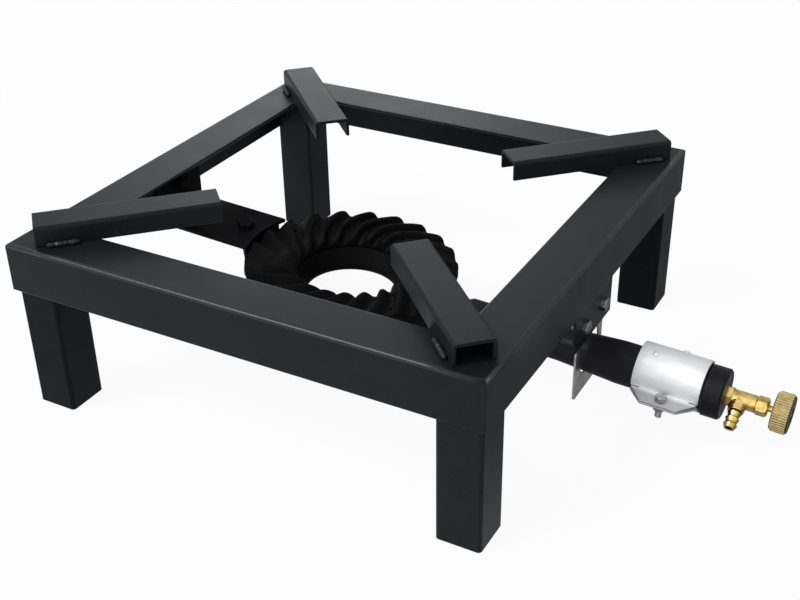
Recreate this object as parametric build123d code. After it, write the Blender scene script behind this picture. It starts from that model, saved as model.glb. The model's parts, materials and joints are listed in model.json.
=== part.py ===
from build123d import *
import os
from math import atan2, cos, degrees, hypot, radians, sin, sqrt

# Free-standing gas ring stove: an angle-iron stand on four legs, four pan supports,
# and a cast ring burner hung in the middle with its mixing tube, air shutter and needle valve.
# Millimetres. X runs along the mixing tube to the valve, Y to the rear, Z up from the floor.

# Stand
frame_length = 400.0
frame_depth = 400.0
frame_height = 143.0
angle_leg = 40.0
angle_wall = 3.0
angle_edge_radius = 0.8
leg_size = 35.0
leg_wall = 2.0
leg_corner_radius = 3.0

# Pan supports: channels with the open side down, pointing at the middle
support_width = 30.0
support_height = 16.0
support_wall = 2.5
support_inner_radius = 0.5
support_length = 140.5
support_setback = 22.7

# Welds
weld_leg = 3.5
support_weld_length = 20.0
post_weld_length = 22.0
hanger_weld_length = 18.0

# Fits between pieces
thread_clearance = 0.05
bolt_clearance = 0.25
running_clearance = 0.08
seat_clearance = 0.3

# Cast ring burner. Heights in the burner are taken from the plane of its outer crests.
burner_offset = 18.0
burner_drop = 66.5
burner_sag = 3.0
ring_hole_radius = 46.0
ring_throat_radius = 34.0
ring_wall_radius = 86.0
ring_wall = 4.0
ring_depth = 33.0
ring_corner_radius = 5.0
crown_radius = 90.0
crown_outer_rim = 1.4
crown_inner_rim = 2.0
crown_spigot = 4.0
crown_spigot_clearance = 0.25
tooth_count = 22
tooth_height = 6.0
dome_radius = 60.0
dome_rise = 3.5
inner_crest_drop = 5.0
tooth_share = 0.94
tooth_crest_share = 0.32
tooth_twist = 26.5
tooth_start_angle = 7.3
port_diameter = 2.6
port_row_inset = 14.0

# Mixing tube of the burner casting
tube_drop = 16.4
tube_diameter = 27.6
tube_wall = 3.5
neck_wall = 2.8
neck_length = 14.0
neck_flare = 12.0
bell_inset = 24.0
bell_flare = 48.0
bell_diameter = 33.8
bell_length = 78.8
window_length = 14.0
window_width = 14.0
window_inset = 15.0

# Cast lug that carries the burner on the left
lug_root_width = 58.0
lug_width = 34.0
lug_taper = 14.0
lug_length = 34.0
lug_thickness = 8.0
lug_drop = 1.5
lug_gap = 2.0
lug_gusset = 11.0
lug_bolt_place = 15.0

# Left bracket: a strap with one end turned up inside the skirt
bracket_width = 60.0
bracket_thickness = 3.0
bracket_top_gap = 8.0
bracket_bend_radius = 3.0
bracket_bolt_rise = 11.0
bracket_end_gap = 1.0

# Right hanger and the plate that carries the mixing tube
hanger_width = 76.0
hanger_thickness = 2.0
hanger_tube_gap = 3.6
hanger_top_gap = 8.0
plate_width = 55.0
plate_thickness = 1.5
plate_foot = 14.0
plate_head = 12.0
plate_hole_radius = 20.5
plate_bolt_spacing = 38.0
plate_bolt_rise = 15.5
plate_corner_radius = 3.0

# Hexagon bolts
large_bolt_diameter = 8.0
large_hex = 13.0
large_head = 5.3
large_nut = 6.5
small_bolt_diameter = 6.0
small_hex = 10.0
small_head = 4.0
small_nut = 5.0
clamp_bolt_diameter = 5.0
clamp_hex = 8.0
clamp_head = 3.5
clamp_nut_height = 4.0
bolt_tail = 2.5

# Air shutter: a sheet sleeve pinched round the tube by two ears and a bolt
shutter_length = 52.0
shutter_wall = 1.6
shutter_slack = 1.8
shutter_slack_angle = 20.0
shutter_cap_gap = 0.5
ear_drop = 6.9
ear_gap = 2.0
ear_tip_length = 28.0
ear_length = 12.5
ear_root_sink = 2.7
ear_corner_radius = 2.0
clamp_bolt_place = 4.7
clamp_bolt_tail = 6.0
rivet_head_radius = 2.6
rivet_head_height = 1.4
rivet_shank_radius = 1.5
front_rivet_place = 12.4
front_rivet_angle = 18.0
rear_rivet_place = 30.9
rear_rivet_angle = -33.0

# End cap on the mixing tube
cap_radius = 19.8
cap_overlap = 11.0
cap_end_wall = 4.0
cap_chamfer = 1.5
spigot_diameter = 8.0

# Injector jet, screwed on the valve's spigot inside the cap
jet_hex = 13.0
jet_hex_length = 9.0
jet_nose_length = 6.0
jet_nose_radius = 3.0
jet_passage_radius = 1.5
jet_orifice_radius = 0.5
jet_orifice_length = 3.0
spigot_engagement = 4.0

# Needle valve
shoulder_hex = 14.0
shoulder_length = 5.0
barrel_radius = 6.5
barrel_length = 17.5
nose_radius = 5.0
nose_length = 4.2
seat_radius = 1.5
chamber_radius = 3.2
chamber_start = 7.7
chamber_length = 10.0
inlet_place = 10.2
inlet_drop_angle = 30.0
inlet_boss_radius = 6.3
inlet_boss_reach = 8.5
inlet_thread_radius = 3.9
inlet_thread_length = 4.5
gland_hex = 13.0
gland_wall = 3.0
packing_length = 1.8
spindle_radius = 2.5
needle_length = 4.5
needle_entry = 1.5
needle_tip_radius = 0.6
spindle_bare_length = 4.0

# Hose tail
barb_length = 16.5
barb_collar_length = 2.0
barb_collar_radius = 6.0
barb_root_radius = 4.0
barb_ridge_radius = 5.2
barb_count = 3
barb_ridge_share = 0.35
barb_bore_radius = 2.8

# Knob
knob_radius = 15.4
knob_thickness = 13.0
knob_chamfer = 1.6
knob_groove_count = 48
knob_groove_radius = 0.8
knob_recess_radius = 6.2
knob_recess_depth = 4.0
knob_floor = 0.4
screw_head_radius = 3.4
screw_head_height = 2.2
screw_shank_radius = 1.5
screw_shank_length = 8.0
screw_slot_width = 0.9
screw_slot_depth = 1.1

# Derived places of the stand
half_length = frame_length / 2
half_depth = frame_depth / 2
flange_underside = frame_height - angle_wall
skirt_bottom = frame_height - angle_leg
burner_top = frame_height - burner_drop
bracket_top = flange_underside - bracket_top_gap
bracket_bolt_height = skirt_bottom + bracket_bolt_rise
hanger_top = flange_underside - hanger_top_gap
corner_distance = hypot(half_length, half_depth)
corner_angle = degrees(atan2(half_depth, half_length))
support_outer = corner_distance - support_setback
support_inner = support_outer - support_length
left_skirt_face = angle_wall - half_length
right_skirt_face = half_length - angle_wall
leg_centre_x = half_length - angle_wall - leg_size / 2
leg_centre_y = half_depth - angle_wall - leg_size / 2

# The burner hangs a little low at the valve end, so all its pieces share one tilted place.
sag = radians(burner_sag)
burner_place = Pos(-burner_offset, 0, burner_top) * Rot(0, burner_sag, 0)
tube_place = burner_place * Pos(0, 0, -tube_drop)


def station(x, height):
    """Distance along the burner's own axis at which the height line meets a vertical plane at x."""
    return (x + burner_offset - height * sin(sag)) / cos(sag)


def level(along, height):
    """Height above the floor of a point of the burner's own frame."""
    return burner_top - along * sin(sag) + height * cos(sag)


def tube_level(x):
    """Height above the floor of the tube's axis at a vertical plane."""
    return level(station(x, -tube_drop), -tube_drop)


# Derived heights in the burner: the crown's two seats, and how far a ridge's root is sunk in the rim
outer_seat_drop = tooth_height + crown_outer_rim
inner_seat_drop = inner_crest_drop + tooth_height + crown_inner_rim
tooth_root_sink = crown_outer_rim / 2

# Derived places along the mixing tube, in the burner's own frame
tube_radius = tube_diameter / 2
bell_radius = bell_diameter / 2
neck_radius = tube_drop - outer_seat_drop - seat_clearance
neck_start = ring_wall_radius - ring_wall
bell_start = station(right_skirt_face, -tube_drop) - bell_inset
tube_end = bell_start + bell_flare + bell_length
cap_start = tube_end - cap_overlap
cap_floor = tube_end + seat_clearance
cap_end = cap_floor + cap_end_wall
shutter_end = cap_start - shutter_cap_gap
shutter_start = shutter_end - shutter_length
shutter_bore = bell_radius + shutter_slack + running_clearance
shutter_radius = shutter_bore + shutter_wall
shutter_middle = (shutter_start + shutter_end) / 2
clamp_bolt_reach = shutter_radius + clamp_bolt_place
slack_turn = radians(shutter_slack_angle)
sleeve_place = Pos(0, shutter_slack * cos(slack_turn), shutter_slack * sin(slack_turn))
spigot_radius = spigot_diameter / 2
spigot_end = cap_floor - spigot_engagement
barrel_start = cap_end + shoulder_length
barrel_end = barrel_start + barrel_length
nose_end = barrel_end + nose_length
chamber_place = cap_end + chamber_start
chamber_end = chamber_place + chamber_length
gland_end = nose_end + packing_length + gland_wall
knob_start = gland_end + spindle_bare_length
knob_end = knob_start + knob_thickness
recess_floor = knob_end - knob_recess_depth
spindle_end = recess_floor - knob_floor
inlet_station = cap_end + inlet_place


def taper_radius(x):
    """Radius of the mixing tube's taper where it passes a vertical plane."""
    share = (station(x, -tube_drop) - bell_start) / bell_flare
    return tube_radius + min(max(share, 0), 1) * (bell_radius - tube_radius)


# Derived places where the burner hangs
lug_step = crown_radius + lug_gap
lug_bolt_reach = lug_step + lug_bolt_place
plate_face = right_skirt_face - hanger_thickness
hanger_bottom = tube_level(right_skirt_face) + taper_radius(right_skirt_face) / cos(sag) + hanger_tube_gap
plate_bolt_height = hanger_bottom + plate_bolt_rise
plate_hole_bottom = tube_level(plate_face) - taper_radius(plate_face) / cos(sag) - seat_clearance


def turned_on_z(points):
    """Solid of revolution about Z from radius and height pairs."""
    return revolve(Plane.XZ * Polygon(*points, align=None), Axis.Z)


def turned_on_x(points):
    """Solid of revolution about X from station and radius pairs."""
    return revolve(Polygon(*points, align=None), Axis.X)


def rod_on_x(start, end, radius):
    """Round bar along X."""
    return turned_on_x([(start, 0), (end, 0), (end, radius), (start, radius)])


def hexagon(across_flats, height):
    """Hexagonal bar standing on the XY plane."""
    return extrude(RegularPolygon(across_flats / 2, 6, major_radius=False), height)


def hexagon_on_x(start, end, across_flats):
    """Hexagonal bar along X."""
    return Pos(start, 0, 0) * Rot(0, 90, 0) * hexagon(across_flats, end - start)


def bolt(diameter, across_flats, head, grip):
    """Hexagon bolt: head above the XY plane, shank below it."""
    shank = Pos(0, 0, -grip / 2) * Cylinder(diameter / 2, grip)
    return hexagon(across_flats, head) + shank


def nut(diameter, across_flats, height):
    """Hexagon nut standing on the XY plane."""
    return hexagon(across_flats, height) - Cylinder(diameter / 2 + thread_clearance, 3 * height)


def weld(length):
    """Quarter-round bead along X, in the corner between the XY and XZ planes."""
    profile = Circle(weld_leg) & Rectangle(weld_leg, weld_leg, align=(Align.MIN, Align.MIN))
    return Pos(-length / 2, 0, 0) * extrude(Plane.YZ * profile, length)


# Stand


def rail(length):
    """Angle-iron rail, mitred at both ends, with its outer face on Y = 0 and its flange towards +Y."""
    flange = Rectangle(angle_leg, angle_wall, align=(Align.MIN, Align.MAX))
    skirt = Rectangle(angle_wall, angle_leg, align=(Align.MIN, Align.MAX))
    profile = flange + skirt
    toes = [(angle_leg, 0, 0), (angle_wall, -angle_leg, 0), (0, 0, 0)]
    for toe in toes:
        corner = profile.vertices().sort_by_distance(toe)[0]
        profile = fillet(corner, angle_edge_radius)
    bar = Pos(-length / 2, 0, frame_height) * extrude(Plane.YZ * profile, length)
    half = length / 2
    inner_half = half - angle_leg
    mitre = Polygon((-half, 0), (half, 0), (inner_half, angle_leg), (-inner_half, angle_leg), align=None)
    return bar & extrude(mitre, frame_height + angle_leg)


def leg():
    """Square tube leg, standing on the floor."""
    outside = RectangleRounded(leg_size, leg_size, leg_corner_radius)
    inside_size = leg_size - 2 * leg_wall
    inside = RectangleRounded(inside_size, inside_size, leg_corner_radius - leg_wall)
    return extrude(outside - inside, flange_underside)


def pan_support():
    """Channel along X from the middle outwards, open side down, standing on the flange."""
    outside = Rectangle(support_width, support_height, align=(Align.CENTER, Align.MIN))
    upper = outside.vertices().group_by(Axis.Y)[-1]
    outside = fillet(upper, support_inner_radius + support_wall)
    gap = support_width - 2 * support_wall
    hollow = Rectangle(gap, support_height - support_wall, align=(Align.CENTER, Align.MIN))
    inner_upper = hollow.vertices().group_by(Axis.Y)[-1]
    hollow = fillet(inner_upper, support_inner_radius)
    profile = outside - hollow
    return Pos(support_inner, 0, frame_height) * extrude(Plane.YZ * profile, support_length)


def corners():
    """The four corners as name, X sign, Y sign and direction from the middle."""
    return [
        ("front_left", -1, -1, 180 + corner_angle),
        ("front_right", 1, -1, -corner_angle),
        ("rear_right", 1, 1, corner_angle),
        ("rear_left", -1, 1, 180 - corner_angle),
    ]


def weld_beads():
    """Every bead of the stand: supports to flanges, legs to flanges, hanger to skirt."""
    beads = []
    support_bead = weld(support_weld_length)
    support_bead = Pos(support_outer - support_weld_length, support_width / 2, frame_height) * support_bead
    post_bead = Pos(0, leg_size / 2, flange_underside) * Rot(180, 0, 180) * weld(post_weld_length)
    for _, side_x, side_y, direction in corners():
        turn = Rot(0, 0, direction)
        beads.append(turn * support_bead)
        beads.append(turn * mirror(support_bead, Plane.XZ))
        post = Pos(side_x * leg_centre_x, side_y * leg_centre_y, 0)
        beads.append(post * Rot(0, 0, 0 if side_y < 0 else 180) * post_bead)
        beads.append(post * Rot(0, 0, -90 if side_x < 0 else 90) * post_bead)
    hanger_bead = Rot(0, -90, 0) * weld(hanger_weld_length)
    bead_height = hanger_top - hanger_weld_length
    for side in (1, -1):
        bead = Pos(right_skirt_face, 0, bead_height) * Pos(0, hanger_width / 2, 0) * hanger_bead
        beads.append(bead if side > 0 else mirror(bead, Plane.XZ))
    return Compound(children=beads)


# Hanging the burner


def left_bracket():
    """Strap on the burner's lug: left end turned up inside the skirt, right end cut to the crown's curve."""
    low = -lug_drop
    high = bracket_thickness - lug_drop
    tab_inner = left_skirt_face + bracket_thickness
    curve_radius = crown_radius + bracket_end_gap
    end = -sqrt(curve_radius ** 2 - bracket_width ** 2 / 4)
    outer_bend = station(left_skirt_face, low)
    inner_bend = station(tab_inner, high)
    outline = [
        (left_skirt_face, bracket_top),
        (left_skirt_face, level(outer_bend, low)),
        (-burner_offset + end * cos(sag) + low * sin(sag), level(end, low)),
        (-burner_offset + end * cos(sag) + high * sin(sag), level(end, high)),
        (tab_inner, level(inner_bend, high)),
        (tab_inner, bracket_top),
    ]
    profile = Polygon(*outline, align=None)
    outer = profile.vertices().sort_by_distance((*outline[1], 0))[0]
    profile = fillet(outer, bracket_bend_radius + bracket_thickness)
    inner = profile.vertices().sort_by_distance((*outline[4], 0))[0]
    profile = fillet(inner, bracket_bend_radius)
    strap = extrude(Plane.XZ * profile, bracket_width / 2, both=True)
    strap -= burner_place * Cylinder(curve_radius, ring_depth)
    return strap - skirt_bolt_hole() - burner_place * lug_bolt_hole()


def skirt_bolt_hole():
    """Drill through the left skirt and the bracket's tab."""
    radius = large_bolt_diameter / 2 + bolt_clearance
    drill = Cylinder(radius, 4 * (angle_wall + bracket_thickness))
    return Pos(left_skirt_face, 0, bracket_bolt_height) * Rot(0, 90, 0) * drill


def lug_bolt_hole():
    """Drill through the bracket's strap and the lug, in the burner's frame."""
    radius = large_bolt_diameter / 2 + bolt_clearance
    return Pos(-lug_bolt_reach, 0, -lug_drop) * Cylinder(radius, 4 * (lug_thickness + bracket_thickness))


def bracket_bolts():
    """The two large bolts of the left bracket."""
    skirt_grip = angle_wall + bracket_thickness + large_nut + bolt_tail
    skirt_bolt = bolt(large_bolt_diameter, large_hex, large_head, skirt_grip)
    skirt_bolt = Pos(-half_length, 0, bracket_bolt_height) * Rot(0, -90, 0) * skirt_bolt
    lug_grip = bracket_thickness + lug_thickness + large_nut + bolt_tail
    lug_bolt = bolt(large_bolt_diameter, large_hex, large_head, lug_grip)
    lug_bolt = burner_place * Pos(-lug_bolt_reach, 0, bracket_thickness - lug_drop) * lug_bolt
    return Compound(children=[skirt_bolt, lug_bolt])


def bracket_nuts():
    """Nuts of the left bracket's bolts."""
    one = nut(large_bolt_diameter, large_hex, large_nut)
    skirt_nut = Pos(left_skirt_face + bracket_thickness, 0, bracket_bolt_height) * Rot(0, 90, 0) * one
    lug_nut = burner_place * Pos(-lug_bolt_reach, 0, -lug_drop - lug_thickness - large_nut) * one
    return Compound(children=[skirt_nut, lug_nut])


def plate_bolt_drills():
    """Drills for the two bolts through hanger and plate."""
    radius = small_bolt_diameter / 2 + bolt_clearance
    drill = Rot(0, 90, 0) * Cylinder(radius, 4 * (hanger_thickness + plate_thickness))
    drills = []
    for side in (-1, 1):
        drills.append(Pos(right_skirt_face, side * plate_bolt_spacing / 2, plate_bolt_height) * drill)
    return drills


def right_hanger():
    """Flat plate welded inside the right skirt."""
    height = hanger_top - hanger_bottom
    blank = Box(hanger_thickness, hanger_width, height, align=(Align.MAX, Align.CENTER, Align.MIN))
    return Pos(right_skirt_face, 0, hanger_bottom) * blank - plate_bolt_drills()


def tube_plate():
    """Thin plate bolted behind the hanger, with a round hole in which the mixing tube lies."""
    bottom = plate_hole_bottom - plate_foot
    height = plate_bolt_height + plate_head - bottom
    outline = Pos(0, bottom + height / 2) * RectangleRounded(plate_width, height, plate_corner_radius)
    outline -= Pos(0, plate_hole_bottom + plate_hole_radius) * Circle(plate_hole_radius)
    blank = Pos(plate_face - plate_thickness, 0, 0) * extrude(Plane.YZ * outline, plate_thickness)
    return blank - plate_bolt_drills()


def plate_bolts():
    """Bolts through hanger and plate, heads outside."""
    grip = hanger_thickness + plate_thickness + small_nut + bolt_tail
    one = Rot(0, 90, 0) * bolt(small_bolt_diameter, small_hex, small_head, grip)
    half = plate_bolt_spacing / 2
    return Compound(children=[Pos(right_skirt_face, y, plate_bolt_height) * one for y in (-half, half)])


def plate_nuts():
    """Nuts behind the plate."""
    one = Rot(0, -90, 0) * nut(small_bolt_diameter, small_hex, small_nut)
    face = plate_face - plate_thickness
    half = plate_bolt_spacing / 2
    return Compound(children=[Pos(face, y, plate_bolt_height) * one for y in (-half, half)])


# Burner, in its own frame: Z = 0 is the plane of the outer crests


def burner_base():
    """Ring channel, mixing tube and lug, one casting."""
    channel = Polygon(
        (ring_hole_radius, 0),
        (ring_hole_radius, -inner_seat_drop),
        (ring_throat_radius, -ring_depth),
        (ring_wall_radius, -ring_depth),
        (ring_wall_radius, 0),
        align=None,
    )
    bottom = channel.vertices().group_by(Axis.Y)[0]
    channel = fillet(bottom, ring_corner_radius)
    body = revolve(Plane.XZ * channel, Axis.Z)
    body += Pos(0, 0, -tube_drop) * tube_outside() + lug()
    above_outer_seat = Pos(0, 0, -outer_seat_drop) * Cylinder(
        ring_wall_radius + lug_gap / 2, ring_depth, align=(Align.CENTER, Align.CENTER, Align.MIN)
    )
    above_inner_seat = Pos(0, 0, -inner_seat_drop) * Cylinder(
        ring_wall_radius - ring_wall, ring_depth, align=(Align.CENTER, Align.CENTER, Align.MIN)
    )
    inner = ring_hole_radius + ring_wall
    outer = ring_wall_radius - ring_wall
    floor = ring_wall - ring_depth
    cavity = turned_on_z([
        (inner, 0),
        (inner, -inner_seat_drop),
        (ring_throat_radius + ring_wall, floor),
        (outer, floor),
        (outer, 0),
    ])
    body -= [above_outer_seat, above_inner_seat, cavity]
    return body - Pos(0, 0, -tube_drop) * tube_inside() - lug_bolt_hole()


def tube_outline(neck, tube, bell):
    """Stations and radii of the mixing tube from the ring to its open end."""
    neck_end = ring_wall_radius + neck_length
    return [
        (neck_start - ring_wall, neck),
        (neck_end, neck),
        (neck_end + neck_flare, tube),
        (bell_start, tube),
        (bell_start + bell_flare, bell),
        (tube_end, bell),
    ]


def tube_outside():
    """Outside of the mixing tube, on the X axis."""
    points = tube_outline(neck_radius, tube_radius, bell_radius)
    return turned_on_x([(neck_start - ring_wall, 0), *points, (tube_end, 0)])


def tube_inside():
    """Bore of the mixing tube and the two air windows under the shutter."""
    start = neck_start - ring_wall
    points = tube_outline(neck_radius - neck_wall, tube_radius - tube_wall, bell_radius - tube_wall)
    bore = turned_on_x([(start, 0), *points, (tube_end, 0)])
    window_middle = tube_end - window_inset - window_length / 2
    window = Pos(window_middle, 0, 0) * Box(window_length, window_width, 3 * bell_diameter)
    return bore + window


def lug():
    """Tongue on the left of the ring, stepped down to pass under the crown's edge.

    Its root is flared, on the rear side as far out as the step.
    """
    root = -(ring_wall_radius - ring_wall / 2)
    step = -lug_step
    end = -(lug_step + lug_length)
    gusset_end = large_hex / sqrt(3) + lug_gap - lug_bolt_reach
    under_crown = -(outer_seat_drop + lug_gap)
    underside = -(lug_drop + lug_thickness)
    outline = [
        (root, under_crown - lug_thickness - lug_gusset),
        (root, under_crown),
        (step, under_crown),
        (step, -lug_drop),
        (end, -lug_drop),
        (end, underside),
        (gusset_end, underside),
    ]
    tongue = extrude(Plane.XZ * Polygon(*outline, align=None), lug_root_width / 2, both=True)
    plan = Polygon(
        (root, -lug_root_width / 2),
        (root, lug_root_width / 2),
        (step, lug_root_width / 2),
        (step - lug_taper, lug_width / 2),
        (end, lug_width / 2),
        (end, -lug_width / 2),
        (-ring_wall_radius - lug_taper, -lug_width / 2),
        (-ring_wall_radius, -lug_root_width / 2),
        align=None,
    )
    return tongue & extrude(plan, ring_depth, both=True)


def crest_height(radius):
    """Height of the domed crown's crests: highest at the dome's radius, lower towards both edges."""
    if radius > dome_radius:
        share = (radius - dome_radius) / (crown_radius - dome_radius)
        return dome_rise * (1 - share ** 2)
    share = (dome_radius - radius) / (dome_radius - ring_hole_radius)
    return dome_rise - (dome_rise + inner_crest_drop) * share ** 2


def crown_radii():
    """Radii from the crown's inner edge to its outer edge, close together where the dome bends most."""
    inner = [ring_hole_radius + share * (dome_radius - ring_hole_radius) for share in (0, 0.3, 0.6)]
    return inner + [dome_radius + share * (crown_radius - dome_radius) for share in (0, 0.35, 0.7, 1)]


def spiral_turn(radius):
    """Angle of the first ridge at a radius: the ridges spiral as they run outwards."""
    share = (radius - ring_hole_radius) / (crown_radius - ring_hole_radius)
    return tooth_start_angle - share * tooth_twist


def crown_tooth():
    """One spiral ridge of the crown, trimmed to the crown's edges."""
    half = 360 / tooth_count * tooth_share / 2
    peak_angle = -half + 2 * half * tooth_crest_share
    radii = [ring_hole_radius - tooth_root_sink, *crown_radii()[1:-1], crown_radius + tooth_root_sink]
    sections = []
    for radius in radii:
        crest = crest_height(radius)
        root = crest - tooth_height - tooth_root_sink
        points = []
        for angle, height in ((-half, root), (peak_angle, crest), (half, root)):
            turn = radians(angle + spiral_turn(radius))
            points.append((radius * cos(turn), radius * sin(turn), height))
        sections.append(Face(Wire.make_polygon(points)))
    ridge = loft(sections, ruled=True)
    edges = Cylinder(crown_radius, 4 * ring_depth) - Cylinder(ring_hole_radius, 4 * ring_depth)
    return ridge & edges


def burner_crown():
    """Ridged ring that closes the channel, with gas ports between the ridges."""
    valley = [(radius, crest_height(radius) - tooth_height) for radius in reversed(crown_radii())]
    spigot_inner = ring_hole_radius + ring_wall + crown_spigot_clearance
    spigot_outer = ring_wall_radius - ring_wall - crown_spigot_clearance
    spigot_bottom = -(inner_seat_drop + crown_spigot)
    lid = turned_on_z([
        (ring_hole_radius, -inner_seat_drop),
        (spigot_inner, -inner_seat_drop),
        (spigot_inner, spigot_bottom),
        (spigot_outer, spigot_bottom),
        (spigot_outer, -outer_seat_drop),
        (crown_radius, -outer_seat_drop),
        *valley,
    ])
    tooth = crown_tooth()
    lid += [Rot(0, 0, i * 360 / tooth_count) * tooth for i in range(tooth_count)]
    drill = Cylinder(port_diameter / 2, 4 * ring_depth)
    ports = []
    for i in range(tooth_count):
        for radius in (ring_hole_radius + port_row_inset, crown_radius - port_row_inset):
            angle = (i + 0.5) * 360 / tooth_count + spiral_turn(radius)
            ports.append(Rot(0, 0, angle) * Pos(radius, 0, 0) * drill)
    return lid - ports


# Air shutter and end cap, in the tube's frame: the tube's axis is X


def air_shutter():
    """Sheet sleeve with a slit and two ears."""
    sleeve = sleeve_place * rod_on_x(shutter_start, shutter_end, shutter_radius)
    half_root = shutter_length / 2
    half_tip = ear_tip_length / 2
    plan = Polygon(
        (shutter_middle - half_root, ear_root_sink - shutter_radius),
        (shutter_middle - half_tip, -shutter_radius - ear_length),
        (shutter_middle + half_tip, -shutter_radius - ear_length),
        (shutter_middle + half_root, ear_root_sink - shutter_radius),
        (shutter_middle + half_root, 0),
        (shutter_middle - half_root, 0),
        align=None,
    )
    tips = plan.vertices().group_by(Axis.Y)[0]
    plan = fillet(tips, ear_corner_radius)
    thickness = ear_gap + 2 * shutter_wall
    ears = Pos(0, 0, -ear_drop - thickness / 2) * extrude(plan, thickness)
    slit = Box(2 * shutter_length, 2 * shutter_radius, ear_gap)
    slit = Pos(shutter_middle, -shutter_radius, -ear_drop) * slit
    bore = sleeve_place * rod_on_x(shutter_start - shutter_length, shutter_end + shutter_length, shutter_bore)
    drill = Cylinder(clamp_bolt_diameter / 2 + bolt_clearance, 3 * thickness)
    drill = Pos(shutter_middle, -clamp_bolt_reach, -ear_drop) * drill
    return sleeve + ears - slit - bore - drill - rivet_shanks()


def clamp_bolt():
    """Bolt that pinches the shutter's ears, head on top."""
    grip = ear_gap + 2 * shutter_wall + clamp_nut_height + clamp_bolt_tail
    top = ear_gap / 2 + shutter_wall - ear_drop
    one = bolt(clamp_bolt_diameter, clamp_hex, clamp_head, grip)
    return Pos(shutter_middle, -clamp_bolt_reach, top) * one


def clamp_nut():
    """Nut under the lower ear."""
    underside = -ear_drop - ear_gap / 2 - shutter_wall
    one = nut(clamp_bolt_diameter, clamp_hex, clamp_nut_height)
    return Pos(shutter_middle, -clamp_bolt_reach, underside - clamp_nut_height) * one


def rivet_places():
    """Places of the two rivets on top of the sleeve, each with Z along the rivet."""
    places = []
    for along, angle in ((front_rivet_place, front_rivet_angle), (rear_rivet_place, rear_rivet_angle)):
        places.append(sleeve_place * Pos(shutter_start + along, 0, 0) * Rot(angle, 0, 0))
    return places


def rivet_shanks():
    """Round shanks of the rivets through the sleeve's wall."""
    shank = Pos(0, 0, shutter_bore + shutter_radius) * Cylinder(rivet_shank_radius, 2 * shutter_radius)
    return [place * shank for place in rivet_places()]


def shutter_rivets():
    """Two domed rivets in the sleeve, filling its wall and flush with its bore."""
    sleeve_axis = sleeve_place * Pos(shutter_middle, 0, 0) * Rot(0, 90, 0)
    wall = sleeve_axis * (Cylinder(shutter_radius, shutter_length) - Cylinder(shutter_bore, 2 * shutter_length))
    dome_radius = (rivet_head_radius ** 2 + rivet_head_height ** 2) / (2 * rivet_head_height)
    top = shutter_radius + rivet_head_height
    outside = sleeve_axis * Cylinder(shutter_radius, 2 * shutter_length)
    rivets = []
    for place, shank in zip(rivet_places(), rivet_shanks()):
        head = Pos(0, 0, top - dome_radius) * Sphere(dome_radius)
        head &= Pos(0, 0, shutter_radius) * Cylinder(rivet_head_radius, 2 * rivet_head_height)
        rivets.append((shank & wall) + (place * head - outside))
    return Compound(children=rivets)


def end_cap():
    """Round cap on the tube's open end, drilled for the valve's spigot."""
    bore = bell_radius + thread_clearance
    return turned_on_x([
        (cap_start, bore),
        (cap_start, cap_radius - cap_chamfer),
        (cap_start + cap_chamfer, cap_radius),
        (cap_end - cap_chamfer, cap_radius),
        (cap_end, cap_radius - cap_chamfer),
        (cap_end, spigot_radius + thread_clearance),
        (cap_floor, spigot_radius + thread_clearance),
        (cap_floor, bore),
    ])


def injector_jet():
    """Jet with a hexagon against the cap's floor and a nose that points into the tube."""
    hexagon_start = cap_floor - jet_hex_length
    nose_start = hexagon_start - jet_nose_length
    body = hexagon_on_x(hexagon_start, cap_floor, jet_hex)
    body += rod_on_x(nose_start, hexagon_start, jet_nose_radius)
    orifice_end = nose_start + jet_orifice_length
    body -= rod_on_x(nose_start, orifice_end, jet_orifice_radius)
    body -= rod_on_x(orifice_end, spigot_end, jet_passage_radius)
    return body - rod_on_x(spigot_end, cap_floor, spigot_radius + thread_clearance)


# Needle valve, in the tube's frame


def inlet_place_on_valve():
    """Place of the hose inlet: Z points out of the boss, forward and down."""
    return Pos(inlet_station, 0, 0) * Rot(90 + inlet_drop_angle, 0, 0)


def valve_body():
    """Valve body with spigot, hexagon shoulder, barrel, inlet boss and threaded nose."""
    body = rod_on_x(spigot_end, cap_end, spigot_radius)
    body += hexagon_on_x(cap_end, barrel_start, shoulder_hex)
    body += rod_on_x(barrel_start, barrel_end, barrel_radius)
    body += rod_on_x(barrel_end, nose_end, nose_radius)
    boss = Cylinder(inlet_boss_radius, inlet_boss_reach, align=(Align.CENTER, Align.CENTER, Align.MIN))
    body += inlet_place_on_valve() * boss
    body -= rod_on_x(spigot_end, chamber_place, seat_radius)
    body -= rod_on_x(chamber_place, chamber_end, chamber_radius)
    body -= rod_on_x(chamber_end, nose_end, spindle_radius + running_clearance)
    passage = Cylinder(barb_bore_radius, inlet_boss_reach, align=(Align.CENTER, Align.CENTER, Align.MIN))
    thread_start = inlet_boss_reach - inlet_thread_length
    thread = Pos(0, 0, thread_start) * Cylinder(
        inlet_thread_radius + thread_clearance,
        inlet_thread_length,
        align=(Align.CENTER, Align.CENTER, Align.MIN),
    )
    return body - inlet_place_on_valve() * (passage + thread)


def hose_barb():
    """Hose tail with a threaded root, a collar and ridges that fall away to its free end."""
    root = inlet_boss_reach - inlet_thread_length
    collar_end = inlet_boss_reach + barb_collar_length
    end = inlet_boss_reach + barb_length
    pitch = (end - collar_end) / barb_count
    outline = [
        (barb_bore_radius, root),
        (inlet_thread_radius, root),
        (inlet_thread_radius, inlet_boss_reach),
        (barb_collar_radius, inlet_boss_reach),
        (barb_collar_radius, collar_end),
    ]
    for i in range(barb_count):
        outline.append((barb_root_radius, collar_end + i * pitch))
        outline.append((barb_ridge_radius, collar_end + (i + barb_ridge_share) * pitch))
    outline.append((barb_root_radius, end))
    outline.append((barb_bore_radius, end))
    return inlet_place_on_valve() * turned_on_z(outline)


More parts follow.
